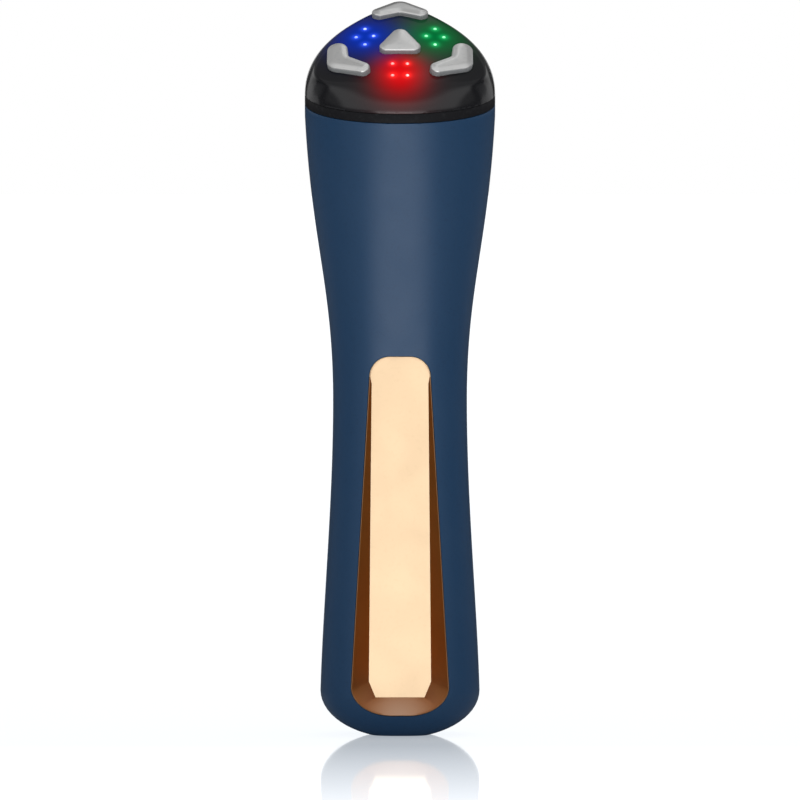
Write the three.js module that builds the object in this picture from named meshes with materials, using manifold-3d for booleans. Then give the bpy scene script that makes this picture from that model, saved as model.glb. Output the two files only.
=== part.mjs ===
// RF facial wand with three treatment lights. Millimetres, +Z up along the wand.
// The wand stands on its foot at z = 0, and its treatment face and grip electrode look toward -Y.
import * as THREE from 'three';
import { mergeVertices } from 'three/addons/utils/BufferGeometryUtils.js';
import Module from 'manifold-3d';

const wasm = await Module();
wasm.setup();

// Fits
const GAP = 0.3; // between pieces that touch
const SLIDE_GAP = 0.35; // round a button or plunger that travels
const REACH = 60; // how far a cutting tool runs past the wand
const HEAD_REACH = 8; // and past the head's curved wall

// Handle, seen from the front (width) and from the side (depth)
const FOOT_WIDTH = 14;
const FOOT_DEPTH = 12.4;
const BASE_WIDTH = 39;
const BASE_DEPTH = 33;
const BASE_HEIGHT = 11;
const WAIST_WIDTH = 32.8;
const WAIST_DEPTH = 29;
const WAIST_HEIGHT = 82;
const SHOULDER_WIDTH = 46.6;
const SHOULDER_DEPTH = 40;
const SHOULDER_HEIGHT = 152;
const BASE_SWELL = 0.8; // how full the outline still is a little above the base
const BASE_PULL = 0.3; // share of the grip over which it leaves the base
const WAIST_PULL_DOWN = 0.35; // and settles at the waist, from below
const WAIST_PULL_UP = 0.4; // and from above
const SHOULDER_SWELL = 0.77;
const SHOULDER_PULL = 0.45;
const HANDLE_SQUARENESS = 2.6; // superellipse power of the section in the hand
const SHOULDER_SQUARENESS = 2.1; // and at the head
const SHELL_WALL = 2.2;
const LAP_LENGTH = 0.8; // of the rear shell's lip inside the front shell
const LAP_ROOT = 1; // of the lip inside the rear shell's own wall
const PARTING_HEIGHT = 154.8; // where the blue shells meet the head, at the sides
const PARTING_TILT = THREE.MathUtils.degToRad(11.7);
const TRIM_HEIGHT = 2.2;
const COLLAR_WALL = 1.4;
const COLLAR_REACH = 2.4; // how far the trim's collar enters the shells and the cap

// Head
const FACE_TILT = THREE.MathUtils.degToRad(35);
const FACE_HEIGHT = 168.9;
const FACE_SETBACK = -5;
const FACE_DOME_RADIUS = 95;
const FACE_SIDE_FLAT = 15.8; // from the face's middle to its two upper flats
const FACE_FRONT_FLAT = 14.2; // and to its front flat
const FACE_LOBE_REACH = 25;
const FACE_SIDE_FLAT_ANGLE = THREE.MathUtils.degToRad(40);
const FACE_CORNER_POWER = 6;
const FACE_SHARE = 0.9; // how much of the way to its edge the dome runs before it rounds over
const WALL_FULLNESS = 0.5;
const SHOULDER_FULLNESS = 0.45;
const SLOPE_STEP = 0.5; // how far apart the dome's slope is taken
const CAP_WALL = 2.4;

// Electrodes
const ELBOW_CORNER = 3; // radius of the elbow's outer corner
const ELBOW_THROAT = 2.5; // from the middle of an arm to its inner edge, at the elbow
const ELBOW_FILLET = 1.6;
const TOP_SPREAD = THREE.MathUtils.degToRad(62); // each arm from the elbow's axis
const TOP_ARM = { length: 5.6, tip: 1.95 };
const SIDE_SPREAD = THREE.MathUtils.degToRad(63);
const UPPER_ARM = { length: 4.2, tip: 2.55 };
const LOWER_ARM = { length: 6.7, tip: 1.85 };
const ELECTRODE_RISE = 1.25;
const ELECTRODE_SEAT = 1.1;
const ELECTRODE_EDGE = 0.85;
const TOP_ELBOW_REACH = 16.6;
const SIDE_ELBOW_REACH = 15.75;
const SIDE_ELBOW_ANGLE = THREE.MathUtils.degToRad(-20);
const SIDE_ELBOW_HEADING = THREE.MathUtils.degToRad(-32);
const TRIANGLE_TIP = 3.6; // height of the upper round corner's centre over the face's middle
const TRIANGLE_FOOT = 1.2; // drop of the two lower ones
const TRIANGLE_HALF = 3.35; // half their spacing
const TRIANGLE_CORNER = 1.7; // radius of the lower corners
const TRIANGLE_APEX = 2.1; // and of the upper one
const STEM_SETBACK = 1.2; // from the elbow's middle, toward its hollow
const STEM_DIAMETER = 3.4;
const STEM_LENGTH = 3.5; // below the seat
const NUT_DIAMETER = 5.4;
const NUT_THICKNESS = 1;
const NUT_DROP = 0.8; // leaves room for the cap's round shoulder
const CONTACT_DIAMETER = 1.8;

// Treatment lights
const LIGHT_REACH = 9.75;
const LIGHT_ANGLE = THREE.MathUtils.degToRad(28.5);
const RED_LIGHT_REACH = 8.7;
const LIGHT_TIP_DIAMETER = 1;
const LIGHT_TIP_GAP = 0.1; // round each tip, in its hole
const LIGHT_TIP_RISE = 0.1;
const DIAMOND_HALF_WIDTH = 2.15;
const DIAMOND_HALF_LENGTH = 3.35;
const SQUARE_HALF_WIDTH = 1.8;
const SQUARE_HALF_LENGTH = 2.1;
const GUIDE_THICKNESS = 2.6;
const GUIDE_MARGIN = 0.9;
const GUIDE_CLEARANCE = 1.4; // under the cap, whose shoulder turns down beside the guides
const LED_SIZE = 3.2;
const LED_THICKNESS = 1;
const LED_BOARD_THICKNESS = 1.2;
const LED_BOARD_INSET = 5.8;

// Head carrier and its screws
const CARRIER_THICKNESS = 2;
const LEDGE_WIDTH = 2.4;
const LEDGE_THICKNESS = 2;
const LEDGE_DROP = 8; // from the parting line to the ledge's top
const POST_DIAMETER = 4;
const POST_REACH = 6.4; // from the face's middle, along the light board
const POST_ANGLES = [60, 120, -90].map(THREE.MathUtils.degToRad);
const CABLE_SLOT_WIDTH = 12;
const CABLE_SLOT_DEPTH = 4.4;

// Grip electrode, a tray sunk in the front of the handle
const TRAY_TOP = 92.9;
const TRAY_BOTTOM = 4.9;
const TRAY_TOP_HALF_WIDTH = 7.5;
const TRAY_BOTTOM_HALF_WIDTH = 12;
const TRAY_WIDEST_HEIGHT = 12;
const TRAY_TOP_CORNER = 5;
const TRAY_BOTTOM_CORNER = 10;
const TRAY_RIM = 0.5;
const FLOOR_TOP_HALF_WIDTH = 6.9;
const FLOOR_BOTTOM_HALF_WIDTH = 7.7;
const FLOOR_BOTTOM = 9.3;
const FLOOR_CHAMFER_WIDTH = 1.4;
const FLOOR_CHAMFER_HEIGHT = 3.9;
const FLOOR_TOP_DEPTH = 1.5; // below the surface of the handle
const FLOOR_BOTTOM_DEPTH = 5.6;
const RIM_OVERRUN = 1.8; // how far the trough's sides run on past the rim
const TRAY_SHEET = 1.1;
const PAN_WALL = 1.5; // of the front shell, behind the tray
const PAN_HEEL = 4; // how far the pan runs down into the base
const STUD_DIAMETER = 3;
const STUD_DROP = 9; // from the tray's top
const STUD_LENGTH = 1.5; // behind the pan

// Buttons on the back
const POWER_HEIGHT = 122;
const POWER_DIAMETER = 11;
const MODE_HEIGHT = 104;
const MODE_DIAMETER = 8.6;
const BUTTON_PROUD = 0.9;
const BUTTON_TRAVEL = 0.6;
const BUTTON_FLANGE = 1.3;
const FLANGE_THICKNESS = 1;
const BUTTON_DISH_RADIUS = 16;
const BUTTON_DISH_DEPTH = 0.35;
const PLUNGER_DIAMETER = 3;
const SWITCH_SIZE = 6;
const SWITCH_THICKNESS = 3.4;
const SWITCH_FLOOR = 0.8;

// Level window on the back
const WINDOW_HEIGHT = 138;
const WINDOW_WIDTH = 2.2;
const WINDOW_LENGTH = 8;

// Boards
const BOARD_FACE = 5; // the front face of the main board
const BOARD_THICKNESS = 1.6;
const BOARD_WIDTH = 21;
const BOARD_BOTTOM = 78;
const BOARD_TOP = 143;
const BOSS_DIAMETER = 4.6;
const BOSS_INSET = 3; // from the board's edges
const BOSS_LENGTH = 7;
const CARRIER_SCREW_ANGLE = THREE.MathUtils.degToRad(42); // round the section, from its sides
const CARRIER_SCREW_SETBACK = 1; // from the ledge's inner edge
const SCREW_DIAMETER = 2;
const SCREW_HEAD_DIAMETER = 3.8;
const SCREW_HEAD_THICKNESS = 1.3;
const SCREW_GRIP = 4;
const SCREW_RUNOUT = 1; // of each bore past its screw

// Cell and its cradle
const CELL_DIAMETER = 14.2;
const CELL_LENGTH = 50;
const CELL_BOTTOM = 23;
const CELL_SETBACK = 1.6;
const CELL_EDGE = 0.6;
const CRADLE_WALL = 1.2;
const CRADLE_WRAP = 2; // how far the cradle's arms reach past the cell's middle
const GUARD_THICKNESS = 1;
const RIB_THICKNESS = 1.6;
const RIB_INSET = 9;
const RIB_SETBACK = 1; // behind the cell's middle

// Charging port low on the back
const PORT_HEIGHT = 15.5;
const PORT_WIDTH = 8.9;
const PORT_THICKNESS = 3.2;
const PORT_DEPTH = 7.3;
const PORT_SHEET = 0.3;
const PORT_SETBACK = 0.6;
const PORT_CLEARANCE = 0.6; // round the socket, for a plug's sleeve
const TONGUE_WIDTH = 6.6;
const TONGUE_THICKNESS = 0.7;
const TONGUE_LENGTH = 5;
const PORT_BOARD_WIDTH = 13;
const PORT_BOARD_DEPTH = 11;
const PORT_BOARD_THICKNESS = 1;
const PORT_POST_DIAMETER = 3.2;
const PORT_FLOOR = 0.8;

// Parts on the main board
const COIL_HEIGHT = 99;
const COIL_RADIUS = 5;
const COIL_SECTION = 4;
const PARTS_X = 5.2;
const PARTS_HEIGHT = 116;
const CAN_DIAMETER = 6.3;
const CAN_LENGTH = 7.7;
const CAN_EDGE = 0.5;
const INDUCTOR_SIZE = 7.4;
const INDUCTOR_THICKNESS = 3.2;
const CHIP_SIZE = 7;
const CHIP_THICKNESS = 1;
const CHIP_HEIGHT = 128;

// Wires and springs
const WIRE_DIAMETER = 1.3;
const WIRE_SPREAD = 3;
const WIRE_BEND = 2; // straight length at each end of a lead
const WIRE_SETBACK = 1;
const WIRE_LAP = 5; // over the lower end of the main board
const WIRE_STEPS = 10;
const WIRE_SIDES = 6;
const RIBBON_WIDTH = 8;
const RIBBON_THICKNESS = 0.4;
const RIBBON_DROP = 3; // straight below the light board
const RIBBON_SLACK = 2; // over the carrier
const RIBBON_SETBACK = 1.5;
const RIBBON_LAP = 6; // over the upper end of the main board
const RIBBON_STEPS = 18;
const SPRING_SHEET = 0.3;
const SPRING_WIDTH = 3;
const SPRING_FOOT = 4;
const SPRING_BEND = 1; // of the leaf at its foot and at its tip

// Facets
const BODY_SIDES = 36;
const INNER_SIDES = 20;
const BORE_SIDES = 12;
const SMALL_SIDES = 8;
const BUTTON_SIDES = 28;
const CELL_SIDES = 24;
const NUT_SIDES = 6;
const COIL_SIDES = 20;
const OUTER_ROWS = 7;
const INNER_ROWS = 3;
const CAP_ROWS = 8;
const HOLLOW_ROWS = 4; // of the cap's inside
const CORNER_STEPS = 6; // even, so that one lands on the floor's chamfered corner
const SIDE_STEPS = 5;
const ARM_STEPS = 6;
const ELBOW_STEPS = 4;
const TRIANGLE_STEPS = 4;
const EDGE_STEPS = 3;

function material(color, roughness, metalness) {
  return new THREE.MeshStandardMaterial({ color, roughness, metalness });
}

const finishes = {
  navy: () => material(0x22384f, 0.45, 0.1),
  black: () => material(0x1c1c1e, 0.3, 0),
  trim: () => material(0x101113, 0.35, 0.1),
  steel: () => material(0xb4b6b8, 0.32, 1),
  gold: () => material(0xe8b878, 0.22, 1),
  clear: () => material(0xdfe6ee, 0.1, 0),
  board: () => material(0x1d5a3a, 0.6, 0),
  dark: () => material(0x26262a, 0.55, 0),
  ferrite: () => material(0x3a3a3e, 0.8, 0),
  carrier: () => material(0xd9d9d4, 0.6, 0),
  cell: () => material(0x3f6fa8, 0.5, 0),
  wireRed: () => material(0xa8201c, 0.5, 0),
  wireBlack: () => material(0x18181a, 0.5, 0),
};

// Closed body made of rings of points, each ring with the same number of points.
function loft(rings) {
  const count = rings[0].length;
  const positions = [];
  const indices = [];
  for (const ring of rings) {
    for (const point of ring) {
      positions.push(point.x, point.y, point.z);
    }
  }
  for (let row = 0; row < rings.length - 1; row += 1) {
    for (let side = 0; side < count; side += 1) {
      const next = (side + 1) % count;
      const a = row * count + side;
      const b = row * count + next;
      const c = a + count;
      const d = b + count;
      indices.push(a, b, d, a, d, c);
    }
  }
  for (const [row, up] of [[0, false], [rings.length - 1, true]]) {
    const centre = new THREE.Vector3();
    for (const point of rings[row]) {
      centre.addScaledVector(point, 1 / count);
    }
    const hub = positions.length / 3;
    positions.push(centre.x, centre.y, centre.z);
    for (let side = 0; side < count; side += 1) {
      const a = row * count + side;
      const b = row * count + ((side + 1) % count);
      indices.push(...(up ? [a, b, hub] : [b, a, hub]));
    }
  }
  const geometry = new THREE.BufferGeometry();
  geometry.setAttribute('position', new THREE.Float32BufferAttribute(positions, 3));
  geometry.setIndex(indices);
  return geometry;
}

function solid(geometry) {
  const bare = geometry.clone();
  bare.deleteAttribute('normal');
  bare.deleteAttribute('uv');
  const merged = mergeVertices(bare, 1e-4);
  return new wasm.Manifold(new wasm.Mesh({
    numProp: 3,
    vertProperties: new Float32Array(merged.attributes.position.array),
    triVerts: new Uint32Array(merged.index.array),
  }));
}

function toGeometry(manifold) {
  const mesh = manifold.getMesh();
  const geometry = new THREE.BufferGeometry();
  geometry.setAttribute('position', new THREE.BufferAttribute(mesh.vertProperties, 3));
  geometry.setIndex(new THREE.BufferAttribute(mesh.triVerts, 1));
  return geometry;
}

// Adds solids and takes others away; every argument is a geometry.
function combine(joined, cut = []) {
  let result = solid(joined[0]);
  for (const piece of joined.slice(1)) {
    result = result.add(solid(piece));
  }
  for (const piece of cut) {
    result = result.subtract(solid(piece));
  }
  return toGeometry(result);
}

function common(first, second) {
  return toGeometry(solid(first).intersect(solid(second)));
}

function block(width, depth, height, x, y, z) {
  return new THREE.BoxGeometry(width, depth, height).translate(x, y, z);
}

// Round bar along Z from one height to another.
function bar(radius, bottom, top, x = 0, y = 0, sides = BORE_SIDES) {
  const geometry = new THREE.CylinderGeometry(radius, radius, top - bottom, sides);
  return geometry.rotateX(Math.PI / 2).translate(x, y, (top + bottom) / 2);
}

// Round bar along Y from one setback to another.
function crossBar(radius, front, back, x, z, sides = BORE_SIDES) {
  const geometry = new THREE.CylinderGeometry(radius, radius, back - front, sides);
  return geometry.translate(x, (front + back) / 2, z);
}

function mesh(name, geometry, finish) {
  const part = new THREE.Mesh(geometry, finish());
  part.name = name;
  return part;
}

// Outline of the handle: 1 at the base and 0 at the waist, then 0 to 1 at the shoulder.
const lowerOutline = new THREE.CubicBezierCurve(
  new THREE.Vector2(1, BASE_HEIGHT),
  new THREE.Vector2(BASE_SWELL, BASE_HEIGHT + BASE_PULL * (WAIST_HEIGHT - BASE_HEIGHT)),
  new THREE.Vector2(0, WAIST_HEIGHT - WAIST_PULL_DOWN * (WAIST_HEIGHT - BASE_HEIGHT)),
  new THREE.Vector2(0, WAIST_HEIGHT),
);
const upperOutline = new THREE.CubicBezierCurve(
  new THREE.Vector2(0, WAIST_HEIGHT),
  new THREE.Vector2(0, WAIST_HEIGHT + WAIST_PULL_UP * (SHOULDER_HEIGHT - WAIST_HEIGHT)),
  new THREE.Vector2(SHOULDER_SWELL, SHOULDER_HEIGHT - SHOULDER_PULL * (SHOULDER_HEIGHT - WAIST_HEIGHT)),
  new THREE.Vector2(1, SHOULDER_HEIGHT),
);

function outlineAt(curve, height) {
  let low = 0;
  let high = 1;
  for (let step = 0; step < 30; step += 1) {
    const middle = (low + high) / 2;
    if (curve.getPoint(middle).y < height) {
      low = middle;
    } else {
      high = middle;
    }
  }
  return curve.getPoint((low + high) / 2).x;
}

// Half width, half depth and squareness of the handle's section, pulled in by inset.
function section(height, inset) {
  const lerp = THREE.MathUtils.lerp;
  if (height > WAIST_HEIGHT) {
    const swell = outlineAt(upperOutline, Math.min(height, SHOULDER_HEIGHT));
    return {
      halfWidth: lerp(WAIST_WIDTH, SHOULDER_WIDTH, swell) / 2 - inset,
      halfDepth: lerp(WAIST_DEPTH, SHOULDER_DEPTH, swell) / 2 - inset,
      power: lerp(HANDLE_SQUARENESS, SHOULDER_SQUARENESS, swell),
    };
  }
  const swell = outlineAt(lowerOutline, Math.max(height, BASE_HEIGHT));
  let halfWidth = lerp(WAIST_WIDTH, BASE_WIDTH, swell) / 2 - inset;
  let halfDepth = lerp(WAIST_DEPTH, BASE_DEPTH, swell) / 2 - inset;
  if (height < BASE_HEIGHT) {
    const drop = BASE_HEIGHT - height;
    const widthDrop = BASE_HEIGHT / Math.sqrt(1 - (FOOT_WIDTH / BASE_WIDTH) ** 2) - inset;
    const depthDrop = BASE_HEIGHT / Math.sqrt(1 - (FOOT_DEPTH / BASE_DEPTH) ** 2) - inset;
    halfWidth *= Math.sqrt(1 - (drop / widthDrop) ** 2);
    halfDepth *= Math.sqrt(1 - (drop / depthDrop) ** 2);
  }
  return { halfWidth, halfDepth, power: HANDLE_SQUARENESS };
}

function superellipse(angle, { halfWidth, halfDepth, power }) {
  const cos = Math.cos(angle);
  const sin = Math.sin(angle);
  return {
    x: Math.sign(cos) * halfWidth * Math.abs(cos) ** (2 / power),
    y: Math.sign(sin) * halfDepth * Math.abs(sin) ** (2 / power),
  };
}

// Distance from the wand's axis to its front or back surface at one place.
function surfaceDepth(x, height, inset = 0) {
  const { halfWidth, halfDepth, power } = section(height, inset);
  const across = Math.min(Math.abs(x) / halfWidth, 1);
  return halfDepth * (1 - across ** power) ** (1 / power);
}

function sectionRing(height, inset, sides = BODY_SIDES) {
  const shape = section(height, inset);
  return Array.from({ length: sides }, (_, side) => {
    const { x, y } = superellipse((side / sides) * 2 * Math.PI, shape);
    return new THREE.Vector3(x, y, height);
  });
}

// The handle's whole form, pulled in by inset; its top runs past the parting line.
function handleForm(inset, straightRows = INNER_ROWS, sides = INNER_SIDES) {
  const heights = [];
  for (let row = 0; row < straightRows; row += 1) {
    const turn = (row / straightRows) * (Math.PI / 2);
    heights.push(inset + (BASE_HEIGHT - inset) * (1 - Math.cos(turn)));
  }
  for (let row = 0; row < straightRows; row += 1) {
    heights.push(THREE.MathUtils.lerp(BASE_HEIGHT, WAIST_HEIGHT, row / straightRows));
  }
  for (let row = 0; row < straightRows; row += 1) {
    heights.push(THREE.MathUtils.lerp(WAIST_HEIGHT, SHOULDER_HEIGHT, row / straightRows));
  }
  heights.push(SHOULDER_HEIGHT, PARTING_HEIGHT + SHOULDER_DEPTH / 2);
  return loft(heights.map((height) => sectionRing(height, inset, sides)));
}

// Height of the tilted parting plane over a point of the section.
function partingHeight(y, lift = 0) {
  return PARTING_HEIGHT + lift + y * Math.tan(PARTING_TILT);
}

// Ring of the head's section, inset, lying in a plane parallel to the parting line.
function partingRing(inset, lift, sides = BODY_SIDES) {
  return sectionRing(SHOULDER_HEIGHT, inset, sides).map(
    (point) => new THREE.Vector3(point.x, point.y, partingHeight(point.y, lift)),
  );
}

// Tilted block that fills everything above a plane parallel to the parting line.
function above(lift) {
  const geometry = new THREE.BoxGeometry(2 * REACH, 2 * REACH, REACH);
  geometry.translate(0, 0, REACH / 2);
  geometry.applyMatrix4(new THREE.Matrix4().makeRotationX(PARTING_TILT));
  return geometry.translate(0, 0, PARTING_HEIGHT + lift);
}

// Frame of the treatment face: x across, y up the face, z out of it.
const faceFrame = new THREE.Matrix4().makeRotationX(FACE_TILT);
faceFrame.setPosition(0, FACE_SETBACK, FACE_HEIGHT);

function domeDrop(radius) {
  return radius ** 2 / (2 * FACE_DOME_RADIUS);
}

// Frame of a piece that sits on the dome, its own y pointing along a heading.
function seatFrame(reach, angle, heading) {
  const lean = reach / FACE_DOME_RADIUS;
  const out = new THREE.Vector3(lean * Math.cos(angle), lean * Math.sin(angle), 1).normalize();
  const along = new THREE.Vector3(Math.cos(heading), Math.sin(heading), 0);
  along.addScaledVector(out, -along.dot(out)).normalize();
  const across = new THREE.Vector3().crossVectors(along, out);
  const frame = new THREE.Matrix4().makeBasis(across, along, out);
  frame.setPosition(reach * Math.cos(angle), reach * Math.sin(angle), -domeDrop(reach));
  return frame;
}

// Distance from the face's middle to its edge: three flats joined by round lobes.
function faceEdge(angle) {
  const flats = [
    [FACE_SIDE_FLAT_ANGLE, FACE_SIDE_FLAT],
    [Math.PI - FACE_SIDE_FLAT_ANGLE, FACE_SIDE_FLAT],
    [-Math.PI / 2, FACE_FRONT_FLAT],
  ];
  let sum = FACE_LOBE_REACH ** -FACE_CORNER_POWER;
  for (const [normal, distance] of flats) {
    const facing = Math.max(Math.cos(angle - normal), 0);
    sum += (facing / distance) ** FACE_CORNER_POWER;
  }
  return sum ** (-1 / FACE_CORNER_POWER);
}

// The head's whole form over the trim ring, pulled in by inset.
function headForm(inset, lift, wallRows = HOLLOW_ROWS, sides = INNER_SIDES) {
  const faceRows = Math.floor(wallRows / 2) - 1;
  const rim = partingRing(inset, lift, sides);
  const meridians = rim.map((start, side) => {
    const turn = (side / sides) * 2 * Math.PI;
    const edge = faceEdge(turn) - inset;
    const out = new THREE.Vector3(Math.cos(turn), Math.sin(turn), 0);
    const onFace = (radius) => out.clone().multiplyScalar(radius)
      .setZ(-domeDrop(radius) - inset).applyMatrix4(faceFrame);
    const shoulder = onFace(edge * FACE_SHARE);
    const slope = onFace(edge * FACE_SHARE + SLOPE_STEP).sub(shoulder).normalize();
    const span = Math.hypot(start.x - shoulder.x, start.y - shoulder.y);
    const rise = shoulder.z - start.z;
    const curve = new THREE.CubicBezierCurve3(
      start,
      new THREE.Vector3(start.x, start.y, start.z + rise * WALL_FULLNESS),
      shoulder.clone().addScaledVector(slope, span * SHOULDER_FULLNESS),
      shoulder,
    );
    const points = [];
    for (let row = 0; row <= wallRows; row += 1) {
      points.push(curve.getPoint(row / wallRows));
    }
    for (let row = 1; row <= faceRows; row += 1) {
      points.push(onFace(edge * FACE_SHARE * (1 - row / (faceRows + 1))));
    }
    return points;
  });
  return loft(meridians[0].map((_, row) => meridians.map((points) => points[row])));
}

function arc(cx, cy, radius, from, to, steps) {
  return Array.from({ length: steps + 1 }, (_, step) => {
    const angle = THREE.MathUtils.lerp(from, to, step / steps);
    return new THREE.Vector2(cx + radius * Math.cos(angle), cy + radius * Math.sin(angle));
  });
}

// Elbow-shaped outline: two tapering arms that leave the elbow at the origin, away from +y.
// The first arm lies toward -x and the second toward +x.
function elbowOutline(spread, arms) {
  return (inset) => {
    const [first, second] = arms.map(({ length, tip }, index) => {
      const turn = -Math.PI / 2 + (index === 0 ? -spread : spread);
      return {
        x: length * Math.cos(turn),
        y: length * Math.sin(turn),
        radius: tip - inset,
        outer: Math.acos((ELBOW_CORNER - tip) / length),
        inner: Math.acos((ELBOW_THROAT - tip) / length),
        turn,
      };
    });
    const outerFirst = first.turn + 2 * Math.PI - first.outer;
    const outerSecond = second.turn + second.outer;
    const innerFirst = first.turn + first.inner;
    const innerSecond = second.turn - second.inner;
    const hollow = (innerFirst + innerSecond) / 2;
    const depth = (ELBOW_THROAT + ELBOW_FILLET) / Math.cos((innerFirst - innerSecond) / 2);
    const [x, y] = [depth * Math.cos(hollow), depth * Math.sin(hollow)];
    return [
      ...arc(0, 0, ELBOW_CORNER - inset, outerSecond, outerFirst, ELBOW_STEPS),
      ...arc(first.x, first.y, first.radius, outerFirst, innerFirst + 2 * Math.PI, ARM_STEPS),
      ...arc(x, y, ELBOW_FILLET + inset, innerFirst + Math.PI, innerSecond + Math.PI, ELBOW_STEPS),
      ...arc(second.x, second.y, second.radius, innerSecond, outerSecond, ARM_STEPS),
    ];
  };
}

function triangleOutline(inset) {
  const rise = TRIANGLE_TIP + TRIANGLE_FOOT;
  const taper = Math.asin((TRIANGLE_APEX - TRIANGLE_CORNER) / Math.hypot(TRIANGLE_HALF, rise));
  const lean = Math.atan2(TRIANGLE_HALF, rise) - taper;
  const corner = TRIANGLE_CORNER - inset;
  return [
    ...arc(TRIANGLE_HALF, -TRIANGLE_FOOT, corner, -Math.PI / 2, lean, TRIANGLE_STEPS),
    ...arc(0, TRIANGLE_TIP, TRIANGLE_APEX - inset, lean, Math.PI - lean, TRIANGLE_STEPS),
    ...arc(-TRIANGLE_HALF, -TRIANGLE_FOOT, corner, Math.PI - lean, (3 * Math.PI) / 2, TRIANGLE_STEPS),
  ];
}

function flatRing(points, height) {
  return points.map((point) => new THREE.Vector3(point.x, point.y, height));
}

// Plate with a rounded upper edge over a threaded stem.
function electrode(outline, stemY) {
  const rings = [flatRing(outline(0), -ELECTRODE_SEAT)];
  for (let step = 0; step <= EDGE_STEPS; step += 1) {
    const turn = (step / EDGE_STEPS) * (Math.PI / 2);
    const inset = ELECTRODE_EDGE * (1 - Math.cos(turn));
    const height = ELECTRODE_RISE - ELECTRODE_EDGE * (1 - Math.sin(turn));
    rings.push(flatRing(outline(inset), height));
  }
  const stem = bar(STEM_DIAMETER / 2, -ELECTRODE_SEAT - STEM_LENGTH, 0, 0, stemY);
  return combine([loft(rings), stem]);
}

// Pocket and stem hole that an electrode needs in the cap.
function electrodeSeat(outline, stemY) {
  const pocket = loft([
    flatRing(outline(-GAP), -ELECTRODE_SEAT - GAP),
    flatRing(outline(-GAP), HEAD_REACH),
  ]);
  const hole = bar(STEM_DIAMETER / 2 + GAP, -HEAD_REACH, 0, 0, stemY);
  return combine([pocket, hole]);
}

const electrodes = [
  {
    name: 'top',
    reach: TOP_ELBOW_REACH,
    angle: Math.PI / 2,
    heading: Math.PI / 2,
    outline: elbowOutline(TOP_SPREAD, [TOP_ARM, TOP_ARM]),
  },
  {
    name: 'right',
    reach: SIDE_ELBOW_REACH,
    angle: SIDE_ELBOW_ANGLE,
    heading: SIDE_ELBOW_HEADING,
    outline: elbowOutline(SIDE_SPREAD, [UPPER_ARM, LOWER_ARM]),
  },
  {
    name: 'left',
    reach: SIDE_ELBOW_REACH,
    angle: Math.PI - SIDE_ELBOW_ANGLE,
    heading: Math.PI - SIDE_ELBOW_HEADING,
    outline: elbowOutline(SIDE_SPREAD, [LOWER_ARM, UPPER_ARM]),
  },
].map((entry) => ({ ...entry, stemY: -STEM_SETBACK }));
electrodes.push({
  name: 'center',
  reach: 0,
  angle: 0,
  heading: Math.PI / 2,
  outline: triangleOutline,
  stemY: 0,
});

// Places of the four tips of each light, across and up the face.
const diamond = [[-1, 0], [1, 0], [0, -1], [0, 1]].map(
  ([x, y]) => [x * DIAMOND_HALF_WIDTH, y * DIAMOND_HALF_LENGTH],
);
const square = [[-1, -1], [1, -1], [-1, 1], [1, 1]].map(
  ([x, y]) => [x * SQUARE_HALF_WIDTH, y * SQUARE_HALF_LENGTH],
);
const lights = [
  { name: 'blue', reach: LIGHT_REACH, angle: Math.PI - LIGHT_ANGLE, tips: diamond },
  { name: 'green', reach: LIGHT_REACH, angle: LIGHT_ANGLE, tips: diamond },
  { name: 'red', reach: RED_LIGHT_REACH, angle: -Math.PI / 2, tips: square },
].map((entry) => ({
  ...entry,
  x: entry.reach * Math.cos(entry.angle),
  y: entry.reach * Math.sin(entry.angle),
}));

const guideTop = -CAP_WALL - domeDrop(LIGHT_REACH + DIAMOND_HALF_LENGTH + GUIDE_MARGIN)
  - GUIDE_CLEARANCE;
const guideBottom = guideTop - GUIDE_THICKNESS;
const ledTop = guideBottom - GAP;
const ledBottom = ledTop - LED_THICKNESS;
const ledBoardTop = ledBottom - GAP;
const ledBoardBottom = ledBoardTop - LED_BOARD_THICKNESS;

// Treatment head
const head = new THREE.Group();
head.applyMatrix4(faceFrame);

const capLift = TRIM_HEIGHT + GAP;
const capCuts = [headForm(CAP_WALL, capLift - GAP)];
for (const { reach, angle, heading, outline, stemY } of electrodes) {
  const frame = faceFrame.clone().multiply(seatFrame(reach, angle, heading));
  capCuts.push(electrodeSeat(outline, stemY).applyMatrix4(frame));
}
for (const { x, y, tips } of lights) {
  for (const [tipX, tipY] of tips) {
    const hole = bar(
      LIGHT_TIP_DIAMETER / 2 + LIGHT_TIP_GAP,
      guideTop,
      CAP_WALL,
      x + tipX,
      y + tipY,
      SMALL_SIDES,
    );
    capCuts.push(hole.applyMatrix4(faceFrame));
  }
}
const cap = mesh('head_cap', combine([headForm(0, capLift, CAP_ROWS, BODY_SIDES)], capCuts), finishes.black);

for (const { name, reach, angle, heading, outline, stemY } of electrodes) {
  const seat = new THREE.Group();
  seat.applyMatrix4(seatFrame(reach, angle, heading));
  seat.add(mesh(`${name}_electrode`, electrode(outline, stemY), finishes.steel));
  const nutTop = -CAP_WALL - domeDrop(LOWER_ARM.length) - GAP - NUT_DROP;
  const nut = combine(
    [bar(NUT_DIAMETER / 2, nutTop - NUT_THICKNESS, nutTop, 0, stemY, NUT_SIDES)],
    [bar(STEM_DIAMETER / 2 + GAP / 2, nutTop - 2 * NUT_THICKNESS, nutTop + NUT_THICKNESS, 0, stemY)],
  );
  seat.add(mesh(`${name}_electrode_nut`, nut, finishes.steel));
  head.add(seat);
}

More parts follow.
